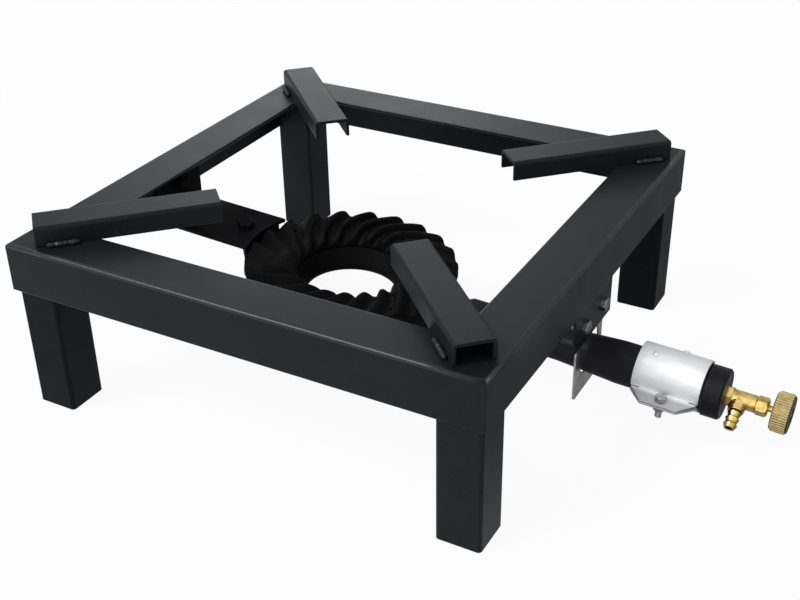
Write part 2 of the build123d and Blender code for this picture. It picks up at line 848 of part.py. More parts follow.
def gland_nut():
    """Hexagon cap nut on the nose of the valve, round the spindle."""
    body = hexagon_on_x(barrel_end, gland_end, gland_hex)
    body -= rod_on_x(barrel_end, nose_end + packing_length, nose_radius + thread_clearance)
    return body - rod_on_x(barrel_end, gland_end, spindle_radius + running_clearance)


def gland_packing():
    """Packing ring between the nose and the gland nut."""
    ring = rod_on_x(nose_end, nose_end + packing_length, nose_radius)
    return ring - rod_on_x(nose_end, nose_end + packing_length, spindle_radius + running_clearance)


def spindle():
    """Spindle with a needle on its inner end and a tapped hole for the knob's screw."""
    tip = chamber_place - needle_entry
    shoulder = tip + needle_length
    bar = turned_on_x([
        (tip, 0),
        (tip, needle_tip_radius),
        (shoulder, spindle_radius),
        (spindle_end, spindle_radius),
        (spindle_end, 0),
    ])
    tapped_depth = screw_shank_length + knob_floor
    return bar - rod_on_x(spindle_end - tapped_depth, spindle_end, screw_shank_radius + running_clearance)


def knob():
    """Round knob with a grooved rim and a recess for its screw."""
    outline = Circle(knob_radius)
    grooves = PolarLocations(knob_radius, knob_groove_count)
    outline -= [place * Circle(knob_groove_radius) for place in grooves]
    disc = Pos(knob_start, 0, 0) * extrude(Plane.YZ * outline, knob_thickness)
    rim = knob_radius - knob_chamfer
    envelope = turned_on_x([
        (knob_start, 0),
        (knob_start, rim),
        (knob_start + knob_chamfer, knob_radius),
        (knob_end - knob_chamfer, knob_radius),
        (knob_end, rim),
        (knob_end, 0),
    ])
    disc &= envelope
    disc -= rod_on_x(recess_floor, knob_end, knob_recess_radius)
    disc -= rod_on_x(knob_start, spindle_end, spindle_radius + running_clearance)
    return disc - rod_on_x(knob_start, knob_end, screw_shank_radius + running_clearance)


def knob_screw():
    """Slotted screw that holds the knob on the spindle."""
    head_end = recess_floor + screw_head_height
    screw = rod_on_x(recess_floor, head_end, screw_head_radius)
    screw += rod_on_x(recess_floor - screw_shank_length, recess_floor, screw_shank_radius)
    slot = Box(2 * screw_slot_depth, 3 * screw_head_radius, screw_slot_width)
    return screw - Pos(head_end, 0, 0) * slot


def build_nodes():
    """Every node of the stove, in the stand's frame."""
    nodes = {
        "front_rail": Pos(0, -half_depth, 0) * rail(frame_length),
        "rear_rail": Pos(0, half_depth, 0) * Rot(0, 0, 180) * rail(frame_length),
        "right_rail": Pos(half_length, 0, 0) * Rot(0, 0, 90) * rail(frame_depth),
        "left_rail": Pos(-half_length, 0, 0) * Rot(0, 0, -90) * rail(frame_depth) - skirt_bolt_hole(),
    }
    for name, side_x, side_y, direction in corners():
        foot = Pos(side_x * leg_centre_x, side_y * leg_centre_y, 0)
        nodes[f"{name}_leg"] = foot * leg()
        nodes[f"{name}_pan_support"] = Rot(0, 0, direction) * pan_support()
    nodes["weld_beads"] = weld_beads()
    nodes["left_bracket"] = left_bracket()
    nodes["bracket_bolts"] = bracket_bolts()
    nodes["bracket_nuts"] = bracket_nuts()
    nodes["right_hanger"] = right_hanger()
    nodes["tube_plate"] = tube_plate()
    nodes["plate_bolts"] = plate_bolts()
    nodes["plate_nuts"] = plate_nuts()
    nodes["burner_base"] = burner_place * burner_base()
    nodes["burner_crown"] = burner_place * burner_crown()
    on_tube = [
        air_shutter, clamp_bolt, clamp_nut, shutter_rivets, end_cap, injector_jet, valve_body,
        hose_barb, gland_nut, gland_packing, spindle, knob, knob_screw,
    ]
    for piece in on_tube:
        nodes[piece.__name__] = tube_place * piece()
    return nodes


nodes = build_nodes()

# The origin is on the floor, in the middle of the whole stove's footprint.
boxes = [node.bounding_box() for node in nodes.values()]
middle_x = (min(box.min.X for box in boxes) + max(box.max.X for box in boxes)) / 2
middle_y = (min(box.min.Y for box in boxes) + max(box.max.Y for box in boxes)) / 2
centring = Pos(-middle_x, -middle_y, 0)
os.makedirs("parts", exist_ok=True)
for name, node in nodes.items():
    export_step(centring * node, f"parts/{name}.step")
print("The stand's middle is at X =", round(-middle_x, 3), "Y =", round(-middle_y, 3))
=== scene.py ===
# %% [markdown]
# # Dressing a gas ring stove
# A low stand is welded from angle iron, square tube and channel, and painted black.
# A cast ring burner hangs in its middle. Its mixing tube runs out under the right rail to an
# aluminium air shutter, a black cap and a brass needle valve.
# The frame holds every piece at its real size. This lesson models again, by hand, the pieces whose
# small shapes show, gives every piece its finish, and sets up the studio.

# %% Load the frame
import json
from math import atan2, ceil, cos, degrees, hypot, pi, radians, sin, sqrt, tau

import bmesh
import bpy
from mathutils import Matrix, Vector


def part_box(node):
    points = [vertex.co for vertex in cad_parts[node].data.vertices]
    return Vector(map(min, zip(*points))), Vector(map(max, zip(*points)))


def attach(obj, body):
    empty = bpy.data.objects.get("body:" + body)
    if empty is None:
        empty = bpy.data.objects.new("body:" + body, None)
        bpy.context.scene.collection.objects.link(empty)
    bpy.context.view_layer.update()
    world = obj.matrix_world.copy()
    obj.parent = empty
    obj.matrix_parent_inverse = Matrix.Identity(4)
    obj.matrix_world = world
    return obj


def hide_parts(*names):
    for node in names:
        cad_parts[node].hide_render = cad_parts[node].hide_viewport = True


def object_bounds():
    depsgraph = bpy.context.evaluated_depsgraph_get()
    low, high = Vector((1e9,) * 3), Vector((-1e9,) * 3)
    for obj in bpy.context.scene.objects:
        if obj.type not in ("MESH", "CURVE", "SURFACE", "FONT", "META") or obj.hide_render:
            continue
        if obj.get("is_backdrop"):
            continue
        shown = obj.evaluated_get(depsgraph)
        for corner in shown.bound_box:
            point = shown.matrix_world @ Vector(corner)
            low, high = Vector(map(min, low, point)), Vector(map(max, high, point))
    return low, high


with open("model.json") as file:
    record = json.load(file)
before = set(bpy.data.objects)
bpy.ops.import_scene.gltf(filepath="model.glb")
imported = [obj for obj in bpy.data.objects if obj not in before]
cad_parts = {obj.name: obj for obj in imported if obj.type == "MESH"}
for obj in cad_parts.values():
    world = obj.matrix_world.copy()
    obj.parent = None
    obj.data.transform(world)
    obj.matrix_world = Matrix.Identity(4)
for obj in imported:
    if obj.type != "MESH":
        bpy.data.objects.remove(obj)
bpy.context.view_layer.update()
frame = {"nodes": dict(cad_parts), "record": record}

mm = 0.001
bpy.ops.object.select_all(action="DESELECT")

# %% [markdown]
# ## Camera
# The photograph looks down on the stove from the front right. A camera is its place, what it looks at
# and its lens. It could be turned by three angles, but a target and a small roll are easier to read.

# %% Camera
camera_place = Vector((0.3843, -0.7691, 0.5704))
camera_target = Vector((-0.0051, -0.0732, 0.1000))
camera_roll = radians(-1.0)
camera_lens_mm = 55.2
camera_sensor_mm = 36.0

camera_data = bpy.data.cameras.new("camera")
camera_data.lens = camera_lens_mm
camera_data.sensor_width = camera_sensor_mm
camera = bpy.data.objects.new("camera", camera_data)
bpy.context.scene.collection.objects.link(camera)
looking = (camera_target - camera_place).to_track_quat("-Z", "Y").to_matrix().to_4x4()
camera.matrix_world = Matrix.Translation(camera_place) @ looking @ Matrix.Rotation(camera_roll, 4, "Z")
bpy.context.scene.camera = camera
print("camera at", [round(c, 3) for c in camera.matrix_world.translation])

# %% [markdown]
# ## Studio
# A product like this is photographed on white under big soft lamps: one high at the front left, a weak
# one low behind that draws a sheen over the rear rails, and a weak, very wide one low in front that
# opens the shadows. Suns with a wide angle are soft lamps that reach the whole floor evenly.
# The sky is plain white to the camera. Shiny metal sees it white in front, greyer overhead and darker
# still behind, because a round surface needs something darker to reflect.

# %% Lamps
def soft_sun(name, towards, strength, width):
    """A soft lamp that shines from a direction. Its width is an angle in degrees."""
    data = bpy.data.lights.new(name, "SUN")
    data.energy = strength
    data.angle = radians(width)
    lamp = bpy.data.objects.new(name, data)
    bpy.context.scene.collection.objects.link(lamp)
    lamp.rotation_euler = Vector(towards).to_track_quat("Z", "Y").to_euler()
    return lamp


key_lamp = soft_sun("key_lamp", towards=(-0.45, -0.50, 0.74), strength=1.5, width=24)
back_lamp = soft_sun("back_lamp", towards=(-0.52, 0.81, 0.24), strength=0.34, width=24)
front_lamp = soft_sun("front_lamp", towards=(0.15, -0.95, 0.30), strength=0.30, width=50)
print("lamps:", [lamp.name for lamp in (key_lamp, back_lamp, front_lamp)])


# %% Helpers for light
def number(tree, operation, first, second):
    """A Math node on two values, each a socket or a plain number."""
    node = tree.nodes.new("ShaderNodeMath")
    node.operation = operation
    for value, socket in zip((first, second), node.inputs):
        if isinstance(value, (int, float)):
            socket.default_value = value
        else:
            tree.links.new(value, socket)
    return node.outputs["Value"]


def spread(tree, value, low, high, start=0.3, end=0.7):
    """Stretches a value from the range start to end over the range low to high, and stops there."""
    node = tree.nodes.new("ShaderNodeMapRange")
    node.inputs["From Min"].default_value = start
    node.inputs["From Max"].default_value = end
    node.inputs["To Min"].default_value = low
    node.inputs["To Max"].default_value = high
    tree.links.new(value, node.inputs["Value"])
    return node.outputs["Result"]


def facing(tree, socket, way):
    """How far a direction or a place lies along a fixed way."""
    node = tree.nodes.new("ShaderNodeVectorMath")
    node.operation = "DOT_PRODUCT"
    tree.links.new(socket, node.inputs[0])
    node.inputs[1].default_value = way
    return node.outputs["Value"]


def shiny_rays(tree, paths):
    """1 for rays that come from shiny or clear surfaces, and 0 for all others."""
    return number(tree, "MAXIMUM", paths.outputs["Is Glossy Ray"], paths.outputs["Is Transmission Ray"])


print("helpers for light are ready")

# %% Sky
sky_strength = 0.5
sky_in_front = 0.98
sky_behind = 0.52
front_way = (0, -0.90, 0.43)

world = bpy.data.worlds.new("studio")
world.use_nodes = True
bpy.context.scene.world = world
sky = world.node_tree
sky_paths = sky.nodes.new("ShaderNodeLightPath")
sky_ways = sky.nodes.new("ShaderNodeTexCoord")
to_metal = shiny_rays(sky, sky_paths)
to_camera = sky_paths.outputs["Is Camera Ray"]
in_front = facing(sky, sky_ways.outputs["Generated"], front_way)
metal_sky = spread(sky, in_front, sky_behind, sky_in_front, start=-0.58, end=0.66)
metal_part = number(sky, "MULTIPLY", to_metal, metal_sky)
seen_part = number(sky, "MAXIMUM", to_camera, metal_part)
others = number(sky, "SUBTRACT", 1.0, number(sky, "MAXIMUM", to_camera, to_metal))
soft_part = number(sky, "MULTIPLY", others, sky_strength)
background = sky.nodes["Background"]
background.inputs["Color"].default_value = (1, 1, 1, 1)
sky.links.new(number(sky, "ADD", seen_part, soft_part), background.inputs["Strength"])
print("a soft sky of", sky_strength)

# %% [markdown]
# ## Floor
# The floor is matt white paper. A lit floor never quite reaches the white of the page, so most of what
# the camera sees of it is plain white, and the rest still takes the shadow. Shiny faces see it bright
# in front, where the lamps stand, and fading to grey at the back right, which keeps the side of the
# stand as dark as black paint should be.

# %% Floor
floor_width = 12
paper_colour = (0.93, 0.93, 0.93, 1)
paper_roughness = 0.9
floor_white = 0.93
floor_in_metal = 0.95
floor_faded = 0.3
fade_way = (0.6, 0.8, 0)

bpy.ops.mesh.primitive_plane_add(size=floor_width)
floor = bpy.context.object
floor.name = "floor"
paper = bpy.data.materials.new("white_paper")
paper.use_nodes = True
tree = paper.node_tree
matt = tree.nodes["Principled BSDF"]
matt.inputs["Base Color"].default_value = paper_colour
matt.inputs["Roughness"].default_value = paper_roughness
matt.inputs["Specular IOR Level"].default_value = 0.0
glow = tree.nodes.new("ShaderNodeEmission")
paths = tree.nodes.new("ShaderNodeLightPath")
shiny = shiny_rays(tree, paths)
to_camera = paths.outputs["Is Camera Ray"]
floor_ways = tree.nodes.new("ShaderNodeTexCoord")
towards_back = facing(tree, floor_ways.outputs["Object"], fade_way)
fading = spread(tree, towards_back, floor_in_metal, floor_faded, start=-0.2, end=0.05)
glow_strength = number(tree, "MAXIMUM", to_camera, number(tree, "MULTIPLY", shiny, fading))
tree.links.new(glow_strength, glow.inputs["Strength"])
sheet = tree.nodes.new("ShaderNodeMixShader")
glow_share = number(tree, "MAXIMUM", number(tree, "MULTIPLY", to_camera, floor_white), shiny)
tree.links.new(glow_share, sheet.inputs["Fac"])
tree.links.new(matt.outputs[0], sheet.inputs[1])
tree.links.new(glow.outputs[0], sheet.inputs[2])
tree.links.new(sheet.outputs[0], tree.nodes["Material Output"].inputs["Surface"])
floor.data.materials.append(paper)
floor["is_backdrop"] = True
bpy.context.scene.view_settings.view_transform = "Standard"
print("floor", floor.dimensions.x, "m wide")

# %% [markdown]
# ## Tilted places
# The burner hangs 3 degrees low at its valve end, so its pieces are modelled upright at the origin and
# then laid in the burner's own tilted place. The places come from the frame: the knob's joint gives the
# tube's axis, and the solids give how far each piece reaches.

# %% Tilted places
def box_round(points):
    """Lowest and highest corner of the box round some points."""
    low = Vector([min(point[axis] for point in points) for axis in range(3)])
    high = Vector([max(point[axis] for point in points) for axis in range(3)])
    return low, high


def seen_from(place, points):
    """Points in a tilted place's own coordinates."""
    back = place.inverted()
    return [back @ point for point in points]


def reach(node, place):
    """Box of a solid of the frame, measured in a tilted place's own coordinates."""
    return box_round(seen_from(place, [corner.co for corner in frame["nodes"][node].data.vertices]))


joints = {joint["name"]: joint for joint in frame["record"]["behaviour"]["joints"]}
tube_axis = Vector(joints["knob_turn"]["axis"])
sag = atan2(-tube_axis.z, tube_axis.x)
tilt = Matrix.Rotation(sag, 4, "Y")
tube_place = Matrix.Translation(joints["knob_turn"]["pos_m"]) @ tilt

crown_dome = 3.5 * mm
low, high = reach("burner_crown", tilt)
ring_centre = Vector(((low.x + high.x) / 2, (low.y + high.y) / 2, high.z - crown_dome))
burner_place = Matrix.Translation(tilt @ ring_centre) @ tilt
print("the burner sags", round(degrees(sag), 2), "degrees")
print("its ring is", round(high.x - low.x, 4), "m across")

# %% [markdown]
# ## Helpers for finishes
# Every finish is a small net of nodes round one shader. Noise in the object's own coordinates changes
# colour, roughness and height a little, because no real surface is even. A mask of the edges shows
# where a finish rubs bare.

# %% Colour and roughness
def new_finish(name):
    """An empty finish: the material, and its tree, shader and coordinates."""
    material = bpy.data.materials.new(name)
    material.use_nodes = True
    tree = material.node_tree
    place = tree.nodes.new("ShaderNodeTexCoord")
    return material, tree, tree.nodes["Principled BSDF"], place.outputs["Object"]


def feed(shader, socket, value):
    """Leads a value or a colour into one of the shader's sockets."""
    shader.id_data.links.new(value, shader.inputs[socket])


def noise(tree, place, size, detail=4.0, stretch=(1, 1, 1)):
    """Cloudy values from 0 to 1 with features of about the given size in metres."""
    mapping = tree.nodes.new("ShaderNodeMapping")
    mapping.inputs["Scale"].default_value = stretch
    tree.links.new(place, mapping.inputs["Vector"])
    texture = tree.nodes.new("ShaderNodeTexNoise")
    texture.inputs["Scale"].default_value = 1 / size
    texture.inputs["Detail"].default_value = detail
    tree.links.new(mapping.outputs[0], texture.inputs["Vector"])
    return texture.outputs["Fac"]


def blend(tree, share, first, second):
    """Mixes two colours, each a socket or three numbers."""
    node = tree.nodes.new("ShaderNodeMix")
    node.data_type = "RGBA"
    tree.links.new(share, node.inputs["Factor"])
    for value, socket in ((first, node.inputs["A"]), (second, node.inputs["B"])):
        if isinstance(value, tuple):
            socket.default_value = (*value, 1)
        else:
            tree.links.new(value, socket)
    return node.outputs["Result"]


def mottled(tree, place, size, dark, light):
    """Two colours in soft clouds."""
    return blend(tree, spread(tree, noise(tree, place, size), 0, 1), dark, light)


def uneven_roughness(tree, shader, place, size, low, high):
    """Lets the roughness wander between two values."""
    feed(shader, "Roughness", spread(tree, noise(tree, place, size), low, high))


print("helpers for colour and roughness are ready")


# %% Height and rubbed edges
def bump(tree, shader, height, depth, below=None):
    """Lets a height in metres tilt the shader's normal, on top of another normal if one is given."""
    node = tree.nodes.new("ShaderNodeBump")
    node.inputs["Strength"].default_value = 1.0
    node.inputs["Distance"].default_value = depth
    tree.links.new(height, node.inputs["Height"])
    if below:
        tree.links.new(below, node.inputs["Normal"])
    feed(shader, "Normal", node.outputs["Normal"])


def rubbed_edges(tree, width):
    """A mask that is 1 on the edges and 0 a width away, and the normal of edges rounded that wide."""
    rounded = tree.nodes.new("ShaderNodeBevel")
    rounded.samples = 8
    rounded.inputs["Radius"].default_value = width
    surface = tree.nodes.new("ShaderNodeNewGeometry")
    same = tree.nodes.new("ShaderNodeVectorMath")
    same.operation = "DOT_PRODUCT"
    tree.links.new(rounded.outputs["Normal"], same.inputs[0])
    tree.links.new(surface.outputs["Normal"], same.inputs[1])
    mask = spread(tree, same.outputs["Value"], 1, 0, start=0.76, end=0.97)
    return mask, rounded.outputs["Normal"]


print("helpers for height and wear are ready")

# %% [markdown]
# ## Stove paint
# The stand is brushed with a satin black paint that has a breath of blue. It lies unevenly, has dust in
# it and is chipped along its edges. Two legs are painted a fuller black, which is painted shade, the
# bracket by the burner and its bolts are darker and matt, and the rails' round edges are polished by
# hands and painted lighter, which is a painted highlight. Four materials could be drawn one by one, but
# one function makes them all, and its colours and shine make the four kinds.

# %% Stove paint
bare_steel = (0.10, 0.105, 0.11)
dust_glint = 2.4
brush_marks = 0.03


def stove_paint(name, dark, light, shine, roughness):
    material, tree, shader, place = new_finish(name)
    coat = mottled(tree, place, 70 * mm, dark, light)
    dust = spread(tree, noise(tree, place, 2.2 * mm, detail=5.0), 0, 0.5, start=0.60, end=0.78)
    coat = blend(tree, dust, coat, tuple(dust_glint * part for part in light))
    edge, rounded = rubbed_edges(tree, 0.8 * mm)
    chips = spread(tree, noise(tree, place, 9 * mm, detail=6.0), 0, 0.6, start=0.45, end=0.65)
    worn = number(tree, "MULTIPLY", edge, chips)
    feed(shader, "Base Color", blend(tree, worn, coat, bare_steel))
    uneven_roughness(tree, shader, place, 40 * mm, roughness - brush_marks, roughness + brush_marks)
    shader.inputs["Specular IOR Level"].default_value = shine
    bump(tree, shader, noise(tree, place, 1.8 * mm, detail=2.0), 0.04 * mm, below=rounded)
    return material


rail_paint = stove_paint(
    "rail_paint", (0.0085, 0.0100, 0.0130), (0.0120, 0.0140, 0.0172), shine=0.11, roughness=0.39
)
# The rounds' lighter colour is a painted highlight, on top of their smoother paint.
edge_paint = stove_paint(
    "edge_paint", (0.0120, 0.0135, 0.0165), (0.0190, 0.0210, 0.0240), shine=0.34, roughness=0.29
)
# Two legs are painted a fuller black: a painted shade.
shaded_leg_paint = stove_paint(
    "shaded_leg_paint", (0.0046, 0.0055, 0.0072), (0.0070, 0.0082, 0.0102), shine=0.055, roughness=0.38
)
darker_matt_paint = stove_paint(
    "darker_matt_paint", (0.0034, 0.0034, 0.0044), (0.0056, 0.0056, 0.0068), shine=0.05, roughness=0.5
)
finish_of_slot = {"black_paint": rail_paint}
finish_of_node = {node: darker_matt_paint for node in ("left_bracket", "bracket_bolts", "bracket_nuts")}
finish_of_node.update({"front_left_leg": shaded_leg_paint, "rear_right_leg": shaded_leg_paint})
print("paints:", [paint.name for paint in (rail_paint, edge_paint, shaded_leg_paint, darker_matt_paint)])

# %% [markdown]
# ## Weld skin
# The beads were painted with the stand, but their crests are rubbed and a few drops of spatter shine.
# The bare spots could be a second material, but one mask that turns paint into metal is softer.

# %% Weld skin
def weld_skin():
    material, tree, shader, place = new_finish("weld_skin")
    bare = spread(tree, noise(tree, place, 3.5 * mm, detail=3.0), 0, 1, start=0.56, end=0.68)
    feed(shader, "Base Color", blend(tree, bare, (0.010, 0.011, 0.013), bare_steel))
    feed(shader, "Roughness", spread(tree, bare, 0.42, 0.24, start=0, end=1))
    feed(shader, "Metallic", spread(tree, bare, 0, 0.8, start=0, end=1))
    shader.inputs["Specular IOR Level"].default_value = 0.3
    bump(tree, shader, noise(tree, place, 1.2 * mm, detail=3.0), 0.12 * mm)
    return material


finish_of_slot["weld_metal"] = weld_skin()
print("finish:", finish_of_slot["weld_metal"].name)

# %% [markdown]
# ## Black casting
# The burner is grey iron cast in sand and blackened. Its skin is a matt grain about two millimetres
# coarse, a little rusty in the hollows. The grain is bump here, and real height on the crown. The mixing
# tube was filed smooth and painted, so beyond the ring the finish turns lighter and glossier. That
# could be two materials, but the casting is one piece, so its finish reads how far out a point lies.

# %% Black casting
ring_reach = 96 * mm
filed_over = 6 * mm
cast_dark = (0.0018, 0.0018, 0.0024)
cast_light = (0.0034, 0.0034, 0.0042)
cast_rust = (0.012, 0.008, 0.006)
tube_black = (0.0180, 0.0180, 0.0215)


def creases(tree, depth):
    """A mask of the inner corners, 1 deep in them and 0 on open faces."""
    node = tree.nodes.new("ShaderNodeAmbientOcclusion")
    node.only_local = True
    node.samples = 8
    node.inputs["Distance"].default_value = depth
    return spread(tree, node.outputs["AO"], 1, 0, start=0.3, end=0.85)


def casting():
    material, tree, shader, place = new_finish("black_casting")
    ring_edge = tube_axis.dot(burner_place.translation) + ring_reach
    on_tube = spread(tree, facing(tree, place, tube_axis), 0, 1, ring_edge, ring_edge + filed_over)
    skin = mottled(tree, place, 30 * mm, cast_dark, cast_light)
    damp = spread(tree, noise(tree, place, 12 * mm), 0, 0.5)
    rust = number(tree, "MULTIPLY", creases(tree, 6 * mm), damp)
    skin = blend(tree, rust, skin, cast_rust)
    feed(shader, "Base Color", blend(tree, on_tube, skin, tube_black))
    matt_skin = spread(tree, noise(tree, place, 6 * mm), 0.50, 0.66)
    smoothing = number(tree, "MULTIPLY", on_tube, 0.26)
    feed(shader, "Roughness", number(tree, "SUBTRACT", matt_skin, smoothing))
    shader.inputs["Specular IOR Level"].default_value = 0.065
    rough_share = spread(tree, on_tube, 1, 0.35, start=0, end=1)
    sand = number(tree, "MULTIPLY", noise(tree, place, 2.2 * mm, detail=6.0), rough_share)
    bump(tree, shader, sand, 0.3 * mm)
    return material


finish_of_slot["cast_iron"] = casting()
print("finish:", finish_of_slot["cast_iron"].name)

# %% [markdown]
# ## Cap enamel and packing
# The cap on the tube's end is turned and dipped in a black enamel that is smoother than the casting, and
# chipped along its edges. The packing in the gland is a dull graphite cord. Both are nets like the
# paint's, with a finer grain.

# %% Cap enamel and packing
def cap_enamel():
    material, tree, shader, place = new_finish("cap_enamel")
    coat = mottled(tree, place, 9 * mm, (0.0050, 0.0051, 0.0066), (0.0088, 0.0090, 0.0108))
    edge, rounded = rubbed_edges(tree, 0.8 * mm)
    chips = spread(tree, noise(tree, place, 3 * mm, detail=6.0), 0, 0.8, start=0.50, end=0.66)
    worn = number(tree, "MULTIPLY", edge, chips)
    feed(shader, "Base Color", blend(tree, worn, coat, bare_steel))
    uneven_roughness(tree, shader, place, 5 * mm, 0.30, 0.46)
    shader.inputs["Specular IOR Level"].default_value = 0.14
    bump(tree, shader, noise(tree, place, 1.5 * mm, detail=3.0), 0.08 * mm, below=rounded)
    return material


def graphite_cord():
    material, tree, shader, place = new_finish("graphite_cord")
    strands = spread(tree, noise(tree, place, 0.8 * mm), 0, 1)
    feed(shader, "Base Color", blend(tree, strands, (0.02, 0.02, 0.02), (0.05, 0.05, 0.05)))
    feed(shader, "Roughness", spread(tree, strands, 0.6, 0.8, start=0, end=1))
    bump(tree, shader, strands, 0.1 * mm)
    return material


finish_of_slot["black_enamel"] = cap_enamel()
finish_of_slot["packing"] = graphite_cord()
print("finishes:", finish_of_slot["black_enamel"].name, finish_of_slot["packing"].name)

# %% [markdown]
# ## Galvanised and plated steel
# The plate under the tube is galvanised. Zinc freezes in feathery patches, which noise can't draw, so
# each cell of a Voronoi pattern gets a slightly different grey. Bolts are zinc plated. Their edges are
# rubbed bright and also carry a painted highlight, their corners are painted dark as painted shade, and
# the two that hold this plate are darker.

# %% Galvanised and plated steel
zinc_patch = 7 * mm
zinc_dark = (0.40, 0.402, 0.412)
zinc_light = (0.62, 0.623, 0.635)


def galvanised_sheet():
    material, tree, shader, place = new_finish("galvanised_sheet")
    cells = tree.nodes.new("ShaderNodeTexVoronoi")
    cells.inputs["Scale"].default_value = 1 / zinc_patch
    tree.links.new(place, cells.inputs["Vector"])
    patch = tree.nodes.new("ShaderNodeSeparateColor")
    tree.links.new(cells.outputs["Color"], patch.inputs["Color"])
    zinc = blend(tree, patch.outputs["Red"], zinc_dark, zinc_light)
    smudge = spread(tree, noise(tree, place, 14 * mm, detail=5.0), 0, 0.6, start=0.45, end=0.70)
    zinc = blend(tree, smudge, zinc, (0.42, 0.42, 0.42))
    edge, rounded = rubbed_edges(tree, 0.6 * mm)
    feed(shader, "Base Color", blend(tree, edge, zinc, (0.72, 0.72, 0.73)))
    feed(shader, "Roughness", spread(tree, patch.outputs["Green"], 0.30, 0.50, start=0, end=1))
    shader.inputs["Metallic"].default_value = 1.0
    bump(tree, shader, noise(tree, place, 5 * mm, detail=3.0), 0.05 * mm, below=rounded)
    return material


def plated_steel(name, dark, light):
    material, tree, shader, place = new_finish(name)
    zinc = mottled(tree, place, 3 * mm, dark, light)
    edge, rounded = rubbed_edges(tree, 0.5 * mm)
    # Edges rubbed bright, which also paints a highlight on them.
    zinc = blend(tree, edge, zinc, (0.46, 0.46, 0.47))
    # Painted shade in the corners.
    crease_shade = spread(tree, creases(tree, 2 * mm), 0, 0.85, start=0, end=1)
    feed(shader, "Base Color", blend(tree, crease_shade, zinc, (0.05, 0.05, 0.05)))
    uneven_roughness(tree, shader, place, 5 * mm, 0.28, 0.45)
    shader.inputs["Metallic"].default_value = 1.0
    bump(tree, shader, noise(tree, place, 1.5 * mm, detail=3.0), 0.03 * mm, below=rounded)
    return material


finish_of_slot["galvanised"] = galvanised_sheet()
finish_of_slot["zinc_plate"] = plated_steel("plated_steel", (0.30, 0.30, 0.31), (0.52, 0.52, 0.53))
darker_plated_steel = plated_steel("darker_plated_steel", (0.16, 0.16, 0.165), (0.38, 0.38, 0.388))
finish_of_node.update({"plate_bolts": darker_plated_steel, "plate_nuts": darker_plated_steel})
print("finishes:", finish_of_slot["galvanised"].name, finish_of_slot["zinc_plate"].name, darker_plated_steel.name)

# %% [markdown]
# ## Mill aluminium
# The shutter is mill-finish aluminium, rolled lengthwise, so its grain is drawn out along the tube by
# squeezing the noise's coordinates. Its ears stick out to the front and are painted darker, a painted
# shade.

# %% Mill aluminium
rolling = (0.08, 1, 1)
ears_from = 19 * mm
ear_shade_full_at = 23 * mm


def mill_aluminium():
    material, tree, shader, place = new_finish("mill_aluminium")
    rolled = noise(tree, place, 2.5 * mm, detail=3.0, stretch=rolling)
    bright = blend(tree, spread(tree, rolled, 0, 1), (0.80, 0.805, 0.818), (0.86, 0.863, 0.872))
    smudge = spread(tree, noise(tree, place, 18 * mm), 0, 0.35, start=0.50, end=0.75)
    bright = blend(tree, smudge, bright, (0.70, 0.70, 0.72))
    # The ears are painted darker: a painted shade.
    ear_shade = spread(tree, facing(tree, place, (0, -1, 0)), 0, 0.9, start=ears_from, end=ear_shade_full_at)
    bright = blend(tree, ear_shade, bright, (0.50, 0.50, 0.51))
    edge, rounded = rubbed_edges(tree, 0.5 * mm)
    feed(shader, "Base Color", blend(tree, edge, bright, (0.90, 0.90, 0.91)))
    uneven_roughness(tree, shader, place, 10 * mm, 0.60, 0.72)
    shader.inputs["Metallic"].default_value = 1.0
    bump(tree, shader, rolled, 0.02 * mm, below=rounded)
    return material


finish_of_slot["aluminium"] = mill_aluminium()
print("finish:", finish_of_slot["aluminium"].name)

# %% [markdown]
# ## Brass
# The valve is turned from brass bar. It is bright where tools and fingers touch it, golden brown where
# it has tarnished, and painted dark in the corners, which is painted shade. The knob is duller all over,
# its grooves get the same painted shade, and its end face is painted almost black, a painted shade, so
# its finish reads how far along the tube a point lies.

# %% Brass
brass_bright = (0.86, 0.65, 0.25)
brass_tarnish = (0.46, 0.31, 0.085)
brass_crease_shade = (0.07, 0.045, 0.012)
end_shade_starts = 1.5 * mm
end_shade_full = 0.5 * mm


def turned_brass():
    material, tree, shader, place = new_finish("turned_brass")
    tarnish = spread(tree, noise(tree, place, 6 * mm, detail=5.0), 0, 1, start=0.40, end=0.68)
    brass = blend(tree, tarnish, brass_bright, brass_tarnish)
    edge, rounded = rubbed_edges(tree, 0.4 * mm)
    brass = blend(tree, edge, brass, (0.88, 0.69, 0.30))
    # Painted shade in the corners.
    crease_shade = spread(tree, creases(tree, 3 * mm), 0, 0.8, start=0, end=1)
    feed(shader, "Base Color", blend(tree, crease_shade, brass, brass_crease_shade))
    feed(shader, "Roughness", spread(tree, tarnish, 0.20, 0.36, start=0, end=1))
    shader.inputs["Metallic"].default_value = 1.0
    bump(tree, shader, noise(tree, place, 0.7 * mm, detail=2.0), 0.01 * mm, below=rounded)
    return material


